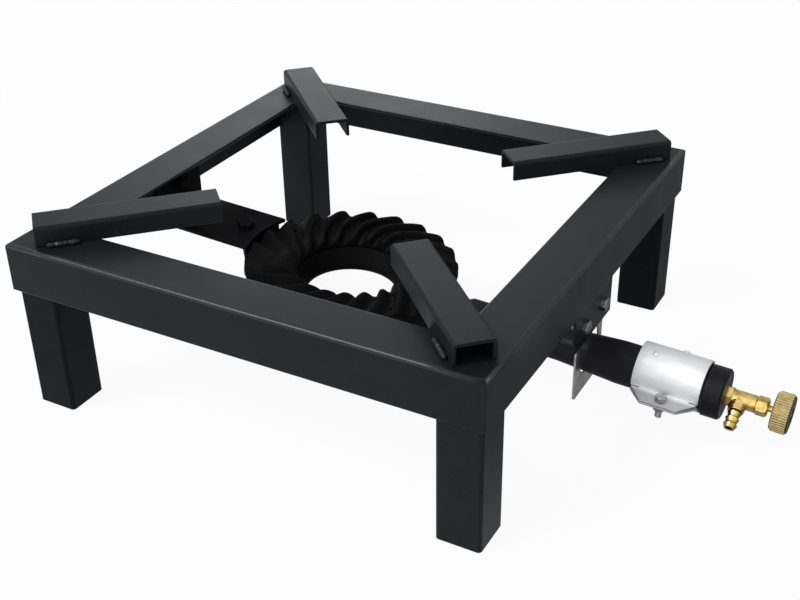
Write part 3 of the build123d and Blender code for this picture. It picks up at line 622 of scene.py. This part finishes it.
def knob_brass():
    material, tree, shader, place = new_finish("knob_brass")
    worn = spread(tree, noise(tree, place, 5 * mm, detail=5.0), 0, 1, start=0.35, end=0.65)
    brass = blend(tree, worn, (0.46, 0.365, 0.17), (0.70, 0.565, 0.30))
    # Painted shade in the grooves and corners.
    crease_shade = spread(tree, creases(tree, 2 * mm), 0, 0.85, start=0, end=1)
    brass = blend(tree, crease_shade, brass, brass_crease_shade)
    end = reach("knob", tilt)[1].x
    along = facing(tree, place, tube_axis)
    # The end face is painted almost black: a painted shade.
    end_face_shade = spread(tree, along, 0, 0.92, start=end - end_shade_starts, end=end - end_shade_full)
    feed(shader, "Base Color", blend(tree, end_face_shade, brass, (0.045, 0.038, 0.028)))
    feed(shader, "Roughness", spread(tree, worn, 0.50, 0.36, start=0, end=1))
    shader.inputs["Metallic"].default_value = 1.0
    bump(tree, shader, noise(tree, place, 0.6 * mm, detail=3.0), 0.03 * mm)
    return material


finish_of_slot["brass"] = turned_brass()
finish_of_slot["knob_brass"] = knob_brass()
print("finishes:", finish_of_slot["brass"].name, finish_of_slot["knob_brass"].name)

# %% [markdown]
# ## Finishes on the solids
# Legs, pan supports, burner base, cap and valve are right as the frame has them, so they only need their
# finish. Every solid takes the finish of its slot, unless its node has one of its own.

# %% Finishes on the solids
for row in frame["record"]["subparts"]:
    piece = frame["nodes"][row["node"]]
    piece.data.materials.clear()
    piece.data.materials.append(finish_of_node.get(row["node"], finish_of_slot[row["material_slot"]]))

# %% [markdown]
# ## Angle iron rails
# Angle iron has a rounded back: the light line along the front rail is that round. The four rails are
# alike, so one is made and copied round the stand. It could be drawn as a profile and pulled out, but a
# bar with a second bar cut from it is just as quick, and its back can be bevelled while it is a box.
# An operator acts on what is selected, so a piece is selected alone, and its edges are picked by where
# they lie. The bevel's faces get the polished paint and are shaded smooth, while the flats stay flat.

# %% Selecting
def only(piece):
    """Selects one piece alone and makes it the active one."""
    bpy.ops.object.select_all(action="DESELECT")
    piece.select_set(True)
    bpy.context.view_layer.objects.active = piece


def start_edit(piece):
    only(piece)
    bpy.ops.object.mode_set(mode="EDIT")


def end_edit():
    bpy.ops.object.mode_set(mode="OBJECT")


def pick_edges(piece, wanted):
    """In edit mode, selects the edges whose middle passes a test."""
    bpy.ops.mesh.select_mode(type="EDGE")
    bpy.ops.mesh.select_all(action="DESELECT")
    mesh = bmesh.from_edit_mesh(piece.data)
    for edge in mesh.edges:
        edge.select_set(wanted((edge.verts[0].co + edge.verts[1].co) / 2))
    bmesh.update_edit_mesh(piece.data)


print("helpers for selecting are ready")

# %% Rail: a bar with a round back
back_round = 3.0 * mm
round_steps = 6
touch = 0.01 * mm
plain_coat = 0
polished_coat = 1


def fresh():
    """The object that was just added, with its place and size kept in its mesh."""
    bpy.ops.object.transform_apply(location=True, rotation=True, scale=True)
    return bpy.context.object


def bar_between(low, high):
    """A box from one corner to the opposite one."""
    bpy.ops.mesh.primitive_cube_add(size=1, location=(low + high) / 2)
    bpy.context.object.scale = high - low
    return fresh()


def round_edges(piece, radius, coat, wanted):
    """Rounds the edges that are wanted, and gives the rounds one of the piece's coats of paint."""
    start_edit(piece)
    pick_edges(piece, wanted)
    bpy.ops.mesh.bevel(offset=radius, segments=round_steps, affect="EDGES", material=coat)
    bpy.ops.mesh.faces_shade_smooth()
    end_edit()


low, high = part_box("front_rail")
rail = bar_between(low, high)
rail.data.materials.append(rail_paint)
rail.data.materials.append(edge_paint)
round_edges(
    rail, back_round, polished_coat,
    lambda middle: middle.y < low.y + touch and middle.z > high.z - touch,
)
print("a bar", [round(side, 3) for side in rail.dimensions], "m, its back rounded")

# %% Rail: its hollow and its tips
angle_wall = 3.0 * mm
root_round = 2.0 * mm
tip_round = 0.8 * mm
well_past = 1.0


def apply_modifier(piece, kind, **settings):
    """Adds a modifier with its settings and applies it at once."""
    only(piece)
    modifier = piece.modifiers.new(kind.lower(), kind)
    for name, value in settings.items():
        setattr(modifier, name, value)
    bpy.ops.object.modifier_apply(modifier=modifier.name)


def carve(piece, tool, operation):
    """Cuts or keeps a piece with a tool shape, and throws the tool away."""
    apply_modifier(piece, "BOOLEAN", operation=operation, object=tool, solver="EXACT")
    bpy.data.objects.remove(tool, do_unlink=True)


inner_low = Vector((low.x - well_past, low.y + angle_wall, low.z - well_past))
inner_high = Vector((high.x + well_past, high.y + well_past, high.z - angle_wall))
hollow = bar_between(inner_low, inner_high)
round_edges(
    hollow, root_round, plain_coat,
    lambda middle: middle.y < inner_low.y + touch and middle.z > inner_high.z - touch,
)
carve(rail, hollow, "DIFFERENCE")
round_edges(
    rail, tip_round, polished_coat,
    lambda middle: abs(middle.x - (low.x + high.x) / 2) < touch
    and (middle.y > high.y - touch or middle.z < low.z + touch),
)
print("one rail:", len(rail.data.polygons), "faces")

# %% [markdown]
# ### Mitres
# The rails meet in mitres at the corners, so a slanted plane cuts off each end. A cut straight across the
# rail before each mitre keeps the mitre's slant from tilting the shading all along the round.

# %% Rail: mitres
square_end = 45 * mm


def pick_faces(piece, wanted):
    """In edit mode, selects the faces whose middle and normal pass a test."""
    bpy.ops.mesh.select_mode(type="FACE")
    bpy.ops.mesh.select_all(action="DESELECT")
    mesh = bmesh.from_edit_mesh(piece.data)
    for face in mesh.faces:
        face.select_set(wanted(face.calc_center_median(), face.normal))
    bmesh.update_edit_mesh(piece.data)


start_edit(rail)
for station in (low.x + square_end, high.x - square_end):
    bpy.ops.mesh.select_all(action="SELECT")
    bpy.ops.mesh.bisect(plane_co=(station, 0, 0), plane_no=(1, 0, 0))
for end, way in ((low.x, -1), (high.x, 1)):
    bpy.ops.mesh.select_all(action="SELECT")
    slant = Vector((way, 1, 0)).normalized()
    bpy.ops.mesh.bisect(plane_co=(end, low.y, 0), plane_no=slant, clear_outer=True, use_fill=True)
pick_faces(rail, lambda middle, normal: abs(normal.x) > 0.5)
bpy.ops.mesh.faces_shade_flat()
end_edit()
print("one mitred rail:", len(rail.data.polygons), "faces")


# %% Rails round the stand
def duplicate(piece):
    """A copy of a piece with its own mesh."""
    copy = piece.copy()
    copy.data = piece.data.copy()
    bpy.context.scene.collection.objects.link(copy)
    return copy


def settle(piece, place):
    """Lays a piece modelled at the origin in its place, and keeps that place in its mesh."""
    piece.matrix_world = place
    only(piece)
    bpy.ops.object.transform_apply(location=True, rotation=True, scale=True)


def dress(piece, slot, body, *nodes):
    """Gives a bare new piece its finish, attaches it to what carries it, and hides the solids it stands
    for.
    """
    if not piece.data.materials:
        piece.data.materials.append(finish_of_node.get(nodes[0], finish_of_slot[slot]))
    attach(piece, body)
    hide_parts(*nodes)
    print(piece.name, "has", len(piece.data.polygons), "faces on", body)


stand_middle = Vector(((low.x + high.x) / 2, 0, 0))
rails = {}
for turns, node in enumerate(("front_rail", "right_rail", "rear_rail", "left_rail")):
    copy = duplicate(rail)
    copy.name = node + "_angle_iron"
    there = Matrix.Translation(stand_middle) @ Matrix.Rotation(turns * pi / 2, 4, "Z")
    settle(copy, there @ Matrix.Translation(-stand_middle))
    dress(copy, "black_paint", "stand", node)
    rails[node] = copy
bpy.data.objects.remove(rail, do_unlink=True)

# %% [markdown]
# ## Cast crown
# The crown is a sand casting: 22 soft ridges spiral outwards over a low dome, each steep on one side and
# gentle on the other. It could be sculpted, but a wave that is drawn once on the outer edge and carried
# inwards ring by ring, turning a little each time, gives every ridge at once.

# %% Crown: one wave on the outer edge
ridge_count = 22
ridge_height = 6.0 * mm
ridge_start = radians(6.8)
crown_radius = 90 * mm
# Each point of the wave is a share of the ridge's width and a share of its height.
ridge_wave = (
    (0, 0), (0.05, 0.44), (0.11, 0.90), (0.23, 1.06),
    (0.37, 0.95), (0.54, 0.56), (0.70, 0.17), (0.84, 0),
)


def turn(angle):
    """Turns what is selected counter-clockwise round the origin, seen from above."""
    bpy.ops.transform.rotate(value=-angle, orient_axis="Z", center_override=(0, 0, 0))


steps = len(ridge_wave)
ridge_pitch = tau / ridge_count
bpy.ops.mesh.primitive_circle_add(vertices=ridge_count * steps, radius=crown_radius)
crown = bpy.context.object
bpy.ops.object.mode_set(mode="EDIT")
bpy.ops.mesh.select_all(action="SELECT")
turn(ridge_start - pi / 2)
columns = [[] for step in range(steps)]
for corner in bmesh.from_edit_mesh(crown.data).verts:
    share = (atan2(corner.co.y, corner.co.x) - ridge_start) % ridge_pitch / ridge_pitch
    columns[round(share * steps) % steps].append(corner.index)
for step, (phase, height) in enumerate(ridge_wave):
    bpy.ops.mesh.select_mode(type="VERT")
    bpy.ops.mesh.select_all(action="DESELECT")
    mesh = bmesh.from_edit_mesh(crown.data)
    mesh.verts.ensure_lookup_table()
    for index in columns[step]:
        mesh.verts[index].select_set(True)
    bmesh.update_edit_mesh(crown.data)
    turn((phase - step / steps) * ridge_pitch)
    bpy.ops.transform.translate(value=(0, 0, (height - 1) * ridge_height))
print("the outer edge waves through", len(columns), "steps a ridge")

# %% Crown: ring by ring inwards
hole_radius = 46 * mm
dome_radius = 60 * mm
inner_drop = 5 * mm
ridge_spiral = radians(26.5) / (crown_radius - hole_radius)
ring_radii = [radius * mm for radius in (88.5, 84, 77, 69, 62, 57, 53, 50, 47.6)] + [hole_radius]


def crest_height(radius):
    """Height of the crests: the crown is domed, lower at both edges."""
    if radius > dome_radius:
        outward = (radius - dome_radius) / (crown_radius - dome_radius)
        return crown_dome * (1 - outward ** 2)
    inward = (dome_radius - radius) / (dome_radius - hole_radius)
    return crown_dome - (crown_dome + inner_drop) * inward ** 2


def widen(factor):
    """Scales what is selected in plan, about the origin."""
    bpy.ops.transform.resize(value=(factor, factor, 1), center_override=(0, 0, 0))


bpy.ops.mesh.select_all(action="SELECT")
last_radius = crown_radius
for radius in ring_radii:
    bpy.ops.mesh.extrude_region_move()
    widen(radius / last_radius)
    turn(ridge_spiral * (last_radius - radius))
    bpy.ops.transform.translate(value=(0, 0, crest_height(radius) - crest_height(last_radius)))
    last_radius = radius
print("crown top:", len(bmesh.from_edit_mesh(crown.data).faces), "faces")

# %% Crown: edges, seats and spigot
outer_seat = -7.4 * mm
inner_seat = -13 * mm
spigot_foot = -17 * mm
spigot_inner = 50.25 * mm
spigot_outer = 81.75 * mm
near = 0.1 * mm


def flatten(height):
    """Presses what is selected flat at a height."""
    bpy.ops.transform.resize(value=(1, 1, 0), center_override=(0, 0, height))


def pull_under(seat, factor):
    """Pulls an open edge down to its seat, across the seat and down to the spigot's foot."""
    bpy.ops.mesh.extrude_region_move()
    flatten(seat)
    bpy.ops.mesh.extrude_region_move()
    widen(factor)
    bpy.ops.mesh.extrude_region_move()
    flatten(spigot_foot)


pull_under(inner_seat, spigot_inner / hole_radius)
pick_edges(crown, lambda middle: hypot(middle.x, middle.y) > crown_radius - near)
pull_under(outer_seat, spigot_outer / crown_radius)
pick_edges(crown, lambda middle: middle.z < spigot_foot + near)
bpy.ops.mesh.bridge_edge_loops()
bpy.ops.mesh.select_all(action="SELECT")
bpy.ops.mesh.normals_make_consistent(inside=False)
end_edit()
apply_modifier(crown, "SUBSURF", levels=2, render_levels=2)
print("crown with its underside:", len(crown.data.polygons), "faces")

# %% [markdown]
# ### Cast skin and gas ports
# Sand leaves a grain on the casting: a fine cloud texture pushes the skin in and out, because bump alone
# would leave the outline smooth. Then two circles of small ports are drilled in the valleys between the
# ridges, with one tool made of many cylinders.

# %% Crown: cast skin
skin_grain = 3.2 * mm
skin_depth = 0.5 * mm

sand = bpy.data.textures.new("sand_skin", "CLOUDS")
sand.noise_scale = skin_grain
sand.noise_depth = 3
apply_modifier(crown, "DISPLACE", texture=sand, strength=skin_depth, mid_level=0.5)
print("the skin's grain is", round(skin_depth / mm, 2), "mm deep")

# %% Crown: gas ports
port_radius = 1.3 * mm
port_depth = 9 * mm
port_phase = 0.93
port_circles = (60 * mm, 76 * mm)


def weld_together(pieces, name):
    """Joins several objects into one with a name."""
    only(pieces[0])
    for piece in pieces:
        piece.select_set(True)
    bpy.ops.object.join()
    pieces[0].name = name
    return pieces[0]


def port_drill(angle, radius):
    """A drill that stands in the valley between two ridges."""
    place = (radius * cos(angle), radius * sin(angle), crest_height(radius) - ridge_height)
    bpy.ops.mesh.primitive_cylinder_add(vertices=10, radius=port_radius, depth=port_depth, location=place)
    return bpy.context.object


def clear_slivers(piece):
    """Merges corners that a cut left almost on each other, and splits its faces into triangles."""
    sliver = 0.005 * mm
    start_edit(piece)
    bpy.ops.mesh.select_all(action="SELECT")
    bpy.ops.mesh.remove_doubles(threshold=sliver)
    bpy.ops.mesh.dissolve_degenerate(threshold=sliver)
    bpy.ops.mesh.quads_convert_to_tris(ngon_method="BEAUTY")
    end_edit()


def shade(piece, sharpest):
    """Shades a piece smooth, but not over edges that turn by more than an angle in degrees."""
    only(piece)
    bpy.ops.object.shade_smooth_by_angle(angle=radians(sharpest))


drills = []
for radius in port_circles:
    for ridge in range(ridge_count):
        valley = ridge_start + (ridge + port_phase) * ridge_pitch
        drills.append(port_drill(valley + ridge_spiral * (crown_radius - radius), radius))
carve(crown, weld_together(drills, "port_drills"), "DIFFERENCE")
clear_slivers(crown)
shade(crown, 50)
crown.name = "cast_crown"
settle(crown, burner_place)
dress(crown, "cast_iron", "stand", "burner_crown")

# %% [markdown]
# ## Air shutter
# The shutter is one strip of aluminium sheet, rolled round the tube and folded out into two ears that a
# bolt pinches until their tips meet. So it is drawn as the sheet's edge, a circle with a slit and two
# straight ends, pulled out along the tube, trimmed at the ears, and only then given its thickness.

# %% Shutter: the sheet's edge
sheet_radius = 19.58 * mm
sheet_slack = 1.8 * mm
slack_turn = radians(20)
sheet_centre = sheet_slack * Vector((cos(slack_turn), sin(slack_turn), 0))
upper_ear = -5.1 * mm
lower_ear = -8.7 * mm
slit_margin = 0.3 * mm
slit_low = lower_ear - slit_margin
slit_high = upper_ear + slit_margin
ear_root = -12 * mm
ear_fold = 1.2 * mm
ear_pinch = 0.9 * mm
ear_short = 0.8 * mm


def pick_corners(piece, wanted):
    """In edit mode, selects the corners whose place passes a test."""
    bpy.ops.mesh.select_mode(type="VERT")
    bpy.ops.mesh.select_all(action="DESELECT")
    mesh = bmesh.from_edit_mesh(piece.data)
    for corner in mesh.verts:
        corner.select_set(wanted(corner.co))
    mesh.select_flush_mode()
    bmesh.update_edit_mesh(piece.data)


def pull(step):
    """Extrudes what is selected by a step."""
    bpy.ops.mesh.extrude_region_move(TRANSFORM_OT_translate={"value": step})


low, high = reach("air_shutter", tube_place)
ear_tip = low.y + ear_short
bpy.ops.mesh.primitive_circle_add(vertices=120, radius=sheet_radius, location=sheet_centre)
shutter = fresh()
start_edit(shutter)
pick_corners(shutter, lambda place: place.x < ear_root and slit_low < place.y < slit_high)
bpy.ops.mesh.delete(type="VERT")
for height, side in ((upper_ear, 1), (lower_ear, -1)):
    mesh = bmesh.from_edit_mesh(shutter.data)
    loose_ends = [corner.co.copy() for corner in mesh.verts if len(corner.link_edges) == 1]
    slit_ends = [place for place in loose_ends if place.x < ear_root]
    end = max(slit_ends, key=lambda place: side * place.y)
    pick_corners(shutter, lambda place: (place - end).length < touch)
    pull((-ear_fold, height - end.y, 0))
    pull((ear_tip - end.x + ear_fold, -side * ear_pinch, 0))
print("the sheet's edge has", len(bmesh.from_edit_mesh(shutter.data).verts), "corners")

# %% Shutter: pull out, trim the ears, thicken
sheet_wall = 1.6 * mm
edge_round = 0.3 * mm
sheet_length = high.x - low.x
sheet_slices = 8
ear_start = -17.5 * mm
ear_half_root = 26 * mm
ear_half_tip = 14 * mm
ear_length = 14.4 * mm
ear_slope = (ear_half_root - ear_half_tip) / ear_length

bpy.ops.mesh.select_all(action="SELECT")
for step in range(sheet_slices):
    pull((0, 0, sheet_length / sheet_slices))
bpy.ops.mesh.select_all(action="SELECT")
bpy.ops.transform.translate(value=(0, 0, -sheet_length / 2))
for side in (1, -1):
    pick_faces(shutter, lambda middle, normal: middle.x < ear_start and abs(normal.y) > 0.9)
    bpy.ops.mesh.bisect(
        plane_co=(ear_tip, 0, side * ear_half_tip),
        plane_no=Vector((-ear_slope, 0, side)).normalized(),
        clear_outer=True,
    )
end_edit()
apply_modifier(shutter, "SOLIDIFY", thickness=sheet_wall, offset=0)
apply_modifier(
    shutter, "BEVEL", width=edge_round, segments=2, limit_method="ANGLE", angle_limit=radians(50)
)
shade(shutter, 40)
shutter.name = "shutter_sheet"
# The sheet was drawn in X and Y and pulled along Z: this turns its length to the tube's own X.
tube_turn = Matrix(((0, 0, 1, 0), (1, 0, 0, 0), (0, 1, 0, 0), (0, 0, 0, 1)))
settle(shutter, tube_place @ Matrix.Translation(((low.x + high.x) / 2, 0, 0)) @ tube_turn)
dress(shutter, "aluminium", "shutter", "air_shutter")

# %% [markdown]
# ## Weld beads
# A hand-laid bead is a row of overlapping drops, frozen one after another. A rippled tube would look
# too even, so each bead is a row of balls of changing size along its seam, fused by a fine remesh.

# %% Weld beads: where they lie
seam_ways = [Vector(way).normalized() for way in ((1, 0, 0), (0, 1, 0), (0, 0, 1), (1, 1, 0), (1, -1, 0))]


def solids_of(node):
    """The separate solids of a node, each as a list of corner places."""
    copy = duplicate(frame["nodes"][node])
    start_edit(copy)
    bpy.ops.mesh.select_all(action="SELECT")
    bpy.ops.mesh.remove_doubles(threshold=0.001 * mm)
    bpy.ops.mesh.separate(type="LOOSE")
    end_edit()
    parts = list(bpy.context.selected_objects)
    places = [[corner.co.copy() for corner in part.data.vertices] for part in parts]
    for part in parts:
        bpy.data.objects.remove(part, do_unlink=True)
    return places


def length_along(way, corners):
    """How long some corners are along a way."""
    along = [way.dot(corner) for corner in corners]
    return max(along) - min(along)


bead_solids = solids_of("weld_beads")
print("weld beads:", len(bead_solids))

# %% Weld beads: drops along each seam
drop_step = 2.1 * mm
drop_radius = 2.3 * mm


def drop_size(step):
    """Radius of a drop, which swells and shrinks along the bead."""
    return drop_radius * (1 + 0.14 * sin(2.4 * step) + 0.10 * sin(5.1 * step))


drops = []
for corners in bead_solids:
    way = max(seam_ways, key=lambda trial: length_along(trial, corners))
    length = length_along(way, corners)
    middle = sum(corners, Vector()) / len(corners)
    count = round(length / drop_step)
    for step in range(count + 1):
        place = middle + way * (length * (step / count - 0.5))
        bpy.ops.mesh.primitive_ico_sphere_add(subdivisions=2, radius=drop_size(step), location=place)
        drops.append(bpy.context.object)
beads = weld_together(drops, "weld_ripples")
bpy.ops.object.transform_apply(location=True)
apply_modifier(beads, "REMESH", mode="VOXEL", voxel_size=0.55 * mm)
apply_modifier(beads, "SMOOTH", factor=0.5, iterations=2)
only(beads)
bpy.ops.object.shade_smooth()
dress(beads, "weld_metal", "stand", "weld_beads")

# %% [markdown]
# ## Bolts and nuts
# A hexagon head is cut from six-sided bar and its corners are turned off, so a six-sided cylinder is kept
# only where it lies inside a round one with bevelled ends. A thread could be bump, but real ridges catch
# the light: a small diamond that the Screw modifier winds round a core. Each fastener is modelled to the
# length of its solid in the frame, and a like one beside it is a copy.

# %% Hexagon bars and threads
lathe_share = 0.995
chamfer_share = 0.1
thread_share = 0.55
end_trim = 0.02 * mm


def round_bar(radius, low, high, sides=32):
    """A round bar on the Z axis from low to high."""
    middle = (0, 0, (low + high) / 2)
    bpy.ops.mesh.primitive_cylinder_add(vertices=sides, radius=radius, depth=high - low, location=middle)
    return fresh()


def hexagon_bar(across, low, high, turned_ends):
    """A hexagon bar on the Z axis, its corners turned off at the ends that are listed."""
    corner = across / sqrt(3)
    bar = round_bar(corner, low, high, sides=6)
    lathe = round_bar(lathe_share * corner, low, high, sides=48)
    start_edit(lathe)
    pick_edges(lathe, lambda middle: min(abs(middle.z - end) for end in turned_ends) < touch)
    bpy.ops.mesh.bevel(offset=chamfer_share * across, affect="EDGES")
    end_edit()
    carve(bar, lathe, "INTERSECT")
    return bar


def threaded_rod(diameter, pitch, low, high):
    """A screw thread on the Z axis: a diamond wound round a core and cut off square."""
    depth = thread_share * pitch
    core_radius = diameter / 2 - depth
    core = round_bar(core_radius, low, high)
    below = (core_radius, 0, low - pitch)
    bpy.ops.mesh.primitive_circle_add(vertices=4, radius=depth, location=below, rotation=(pi / 2, 0, 0))
    ridge = fresh()
    turns = ceil((high - low) / pitch) + 2
    winding = {"angle": tau, "screw_offset": pitch, "iterations": turns}
    apply_modifier(ridge, "SCREW", steps=20, render_steps=20, **winding)
    start_edit(ridge)
    for height, way in ((low + end_trim, -1), (high - end_trim, 1)):
        end, outward = (0, 0, height), (0, 0, way)
        bpy.ops.mesh.select_all(action="SELECT")
        bpy.ops.mesh.bisect(plane_co=end, plane_no=outward, clear_outer=True, use_fill=True)
    bpy.ops.mesh.select_all(action="SELECT")
    bpy.ops.mesh.normals_make_consistent(inside=False)
    end_edit()
    return weld_together([core, ridge], "threaded_rod")


print("a thread is", thread_share, "of its pitch deep")

# %% Fasteners where their solids stand
bolt_edges = 25
head_share = 0.7


def standing(points):
    """The lowest and the highest height of some points, and where their middle axis meets the ground."""
    low, high = box_round(points)
    return low.z, high.z, Vector(((low.x + high.x) / 2, (low.y + high.y) / 2, 0))


def hexagon_bolt(corners, place, across, diameter, pitch):
    """A bolt where a solid of the frame stands: its head is where the solid is widest."""
    points = seen_from(place, corners)
    low, high, foot = standing(points)
    wide = head_share * across / sqrt(3)
    head = [point.z for point in points if hypot(point.x - foot.x, point.y - foot.y) > wide]
    head_low, head_high = min(head), max(head)
    if head_high > high - touch:
        bar = hexagon_bar(across, head_low, head_high, [head_high])
        rod = threaded_rod(diameter, pitch, low, head_low)
    else:
        bar = hexagon_bar(across, head_low, head_high, [head_low])
        rod = threaded_rod(diameter, pitch, head_high, high)
    bolt = weld_together([bar, rod], "bolt")
    shade(bolt, bolt_edges)
    settle(bolt, place @ Matrix.Translation(foot))
    return bolt


def hexagon_nut(corners, place, across, bore):
    """A nut where a solid of the frame stands."""
    low, high, foot = standing(seen_from(place, corners))
    nut = hexagon_bar(across, low, high, [low, high])
    carve(nut, round_bar(bore / 2, low - mm, high + mm), "DIFFERENCE")
    shade(nut, bolt_edges)
    settle(nut, place @ Matrix.Translation(foot))
    return nut


def like_fasteners(make, node, place, size):
    """Models a fastener on a node's first solid and copies it to the others, which stand the same way."""
    first, *others = solids_of(node)
    pieces = [make(first, place, **size)]
    for corners in others:
        copy = duplicate(pieces[0])
        settle(copy, Matrix.Translation(box_round(corners)[0] - box_round(first)[0]))
        pieces.append(copy)
    return pieces


print("edges of bolts and nuts that turn by over", bolt_edges, "degrees stay sharp")

# %% Bolts of the tube's plate
along_x = Matrix.Rotation(pi / 2, 4, "Y")
nut_slack = 0.1 * mm
plate_bolt = {"across": 10 * mm, "diameter": 6 * mm, "pitch": 1.0 * mm}


def nut_for(bolt):
    """Sizes of the nut that fits a bolt: as wide across, with a bore a little wider than the thread."""
    return {"across": bolt["across"], "bore": bolt["diameter"] + nut_slack}


plate_bolts = like_fasteners(hexagon_bolt, "plate_bolts", along_x, plate_bolt)
plate_nuts = like_fasteners(hexagon_nut, "plate_nuts", along_x, nut_for(plate_bolt))
dress(weld_together(plate_bolts, "plate_hexagon_bolts"), "zinc_plate", "stand", "plate_bolts")
dress(weld_together(plate_nuts, "plate_hexagon_nuts"), "zinc_plate", "stand", "plate_nuts")

# %% [markdown]
# ### Bolts through the rail and the shutter
# The left bracket has one bolt through the rail's skirt and one through the burner's lug, which tilts
# with the burner. The shutter's ears are pinched by a third. The rail and the shutter's sheet were
# modelled anew above, so they are drilled where these bolts pass.

# %% Bolts of the left bracket
bracket_bolt = {"across": 13 * mm, "diameter": 8 * mm, "pitch": 1.25 * mm}
bolt_clearance = 0.25 * mm
skirt_reach = 20 * mm


def drill_hole(piece, corners, place, diameter):
    """Drills a piece where a bolt's solid passes through it."""
    low, high, foot = standing(seen_from(place, corners))
    drill = round_bar(diameter / 2 + bolt_clearance, low - mm, high + mm)
    settle(drill, place @ Matrix.Translation(foot))
    carve(piece, drill, "DIFFERENCE")
    print("a hole", round((diameter + 2 * bolt_clearance) / mm, 2), "mm wide in", piece.name)


def place_by_skirt(corners):
    """The way a fastener of the bracket stands: through the skirt, or with the burner."""
    near_skirt = min(corner.x for corner in corners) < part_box("left_bracket")[0].x + skirt_reach
    return along_x if near_skirt else burner_place


bracket_bolts = []
for corners in solids_of("bracket_bolts"):
    place = place_by_skirt(corners)
    bracket_bolts.append(hexagon_bolt(corners, place, **bracket_bolt))
    if place == along_x:
        drill_hole(rails["left_rail"], corners, place, bracket_bolt["diameter"])
bracket_nuts = []
for corners in solids_of("bracket_nuts"):
    bracket_nuts.append(hexagon_nut(corners, place_by_skirt(corners), **nut_for(bracket_bolt)))
dress(weld_together(bracket_bolts, "bracket_hexagon_bolts"), "black_paint", "stand", "bracket_bolts")
dress(weld_together(bracket_nuts, "bracket_hexagon_nuts"), "black_paint", "stand", "bracket_nuts")

# %% Bolt of the shutter
clamp_bolt = {"across": 8 * mm, "diameter": 5 * mm, "pitch": 0.8 * mm}

clamp_corners = solids_of("clamp_bolt")[0]
drill_hole(shutter, clamp_corners, tube_place, clamp_bolt["diameter"])
clear_slivers(shutter)
pinch_bolt = hexagon_bolt(clamp_corners, tube_place, **clamp_bolt)
pinch_bolt.name = "pinch_bolt"
dress(pinch_bolt, "zinc_plate", "shutter", "clamp_bolt")
pinch_nut = hexagon_nut(solids_of("clamp_nut")[0], tube_place, **nut_for(clamp_bolt))
pinch_nut.name = "pinch_nut"
dress(pinch_nut, "zinc_plate", "shutter", "clamp_nut")

# %% Gland nut
gland_across = 13 * mm
gland_bore = 5.2 * mm

gland = hexagon_nut(solids_of("gland_nut")[0], tube_place @ along_x, gland_across, gland_bore)
gland.name = "gland_hexagon"
dress(gland, "brass", "stand", "gland_nut")

# %% [markdown]
# ## Rivets
# Two small blind rivets show on top of the sheet. A rivet head is a shallow dome, so it is a ball cut in
# half and pressed flat, and a copy stands where each solid stands.

# %% Rivets: one head
rivet_radius = 2.7 * mm
rivet_rise = 1.5 * mm

bpy.ops.mesh.primitive_uv_sphere_add(segments=24, ring_count=12, radius=rivet_radius)
rivet_head = bpy.context.object
start_edit(rivet_head)
bpy.ops.mesh.select_all(action="SELECT")
bpy.ops.mesh.bisect(plane_co=(0, 0, 0), plane_no=(0, 0, -1), clear_outer=True, use_fill=True)
bpy.ops.mesh.select_all(action="SELECT")
bpy.ops.transform.resize(value=(1, 1, rivet_rise / rivet_radius), center_override=(0, 0, 0))
end_edit()
shade(rivet_head, 50)
print("one rivet head:", len(rivet_head.data.polygons), "faces")

# %% Rivets in their places
rivet_seat = sheet_radius + 0.45 * sheet_wall
sleeve_place = tube_place @ tube_turn

rivets = []
for corners in solids_of("shutter_rivets"):
    points = seen_from(sleeve_place, corners)
    middle = sum(points, Vector()) / len(points)
    outward = Vector((middle.x, middle.y, 0)) - sheet_centre
    foot = sheet_centre + outward.normalized() * rivet_seat + Vector((0, 0, middle.z))
    stand_up = outward.to_track_quat("Z", "Y").to_matrix().to_4x4()
    rivet = duplicate(rivet_head)
    settle(rivet, sleeve_place @ Matrix.Translation(foot) @ stand_up)
    rivets.append(rivet)
bpy.data.objects.remove(rivet_head, do_unlink=True)
dress(weld_together(rivets, "rivet_heads"), "aluminium", "shutter", "shutter_rivets")

# %% [markdown]
# ## Size
# Dressing must not make the stove grow, so the size of the dressed stove is printed.

# %% Size of the dressed stove
low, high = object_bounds()
print("dressed size", [round(h - l, 4) for l, h in zip(low, high)])
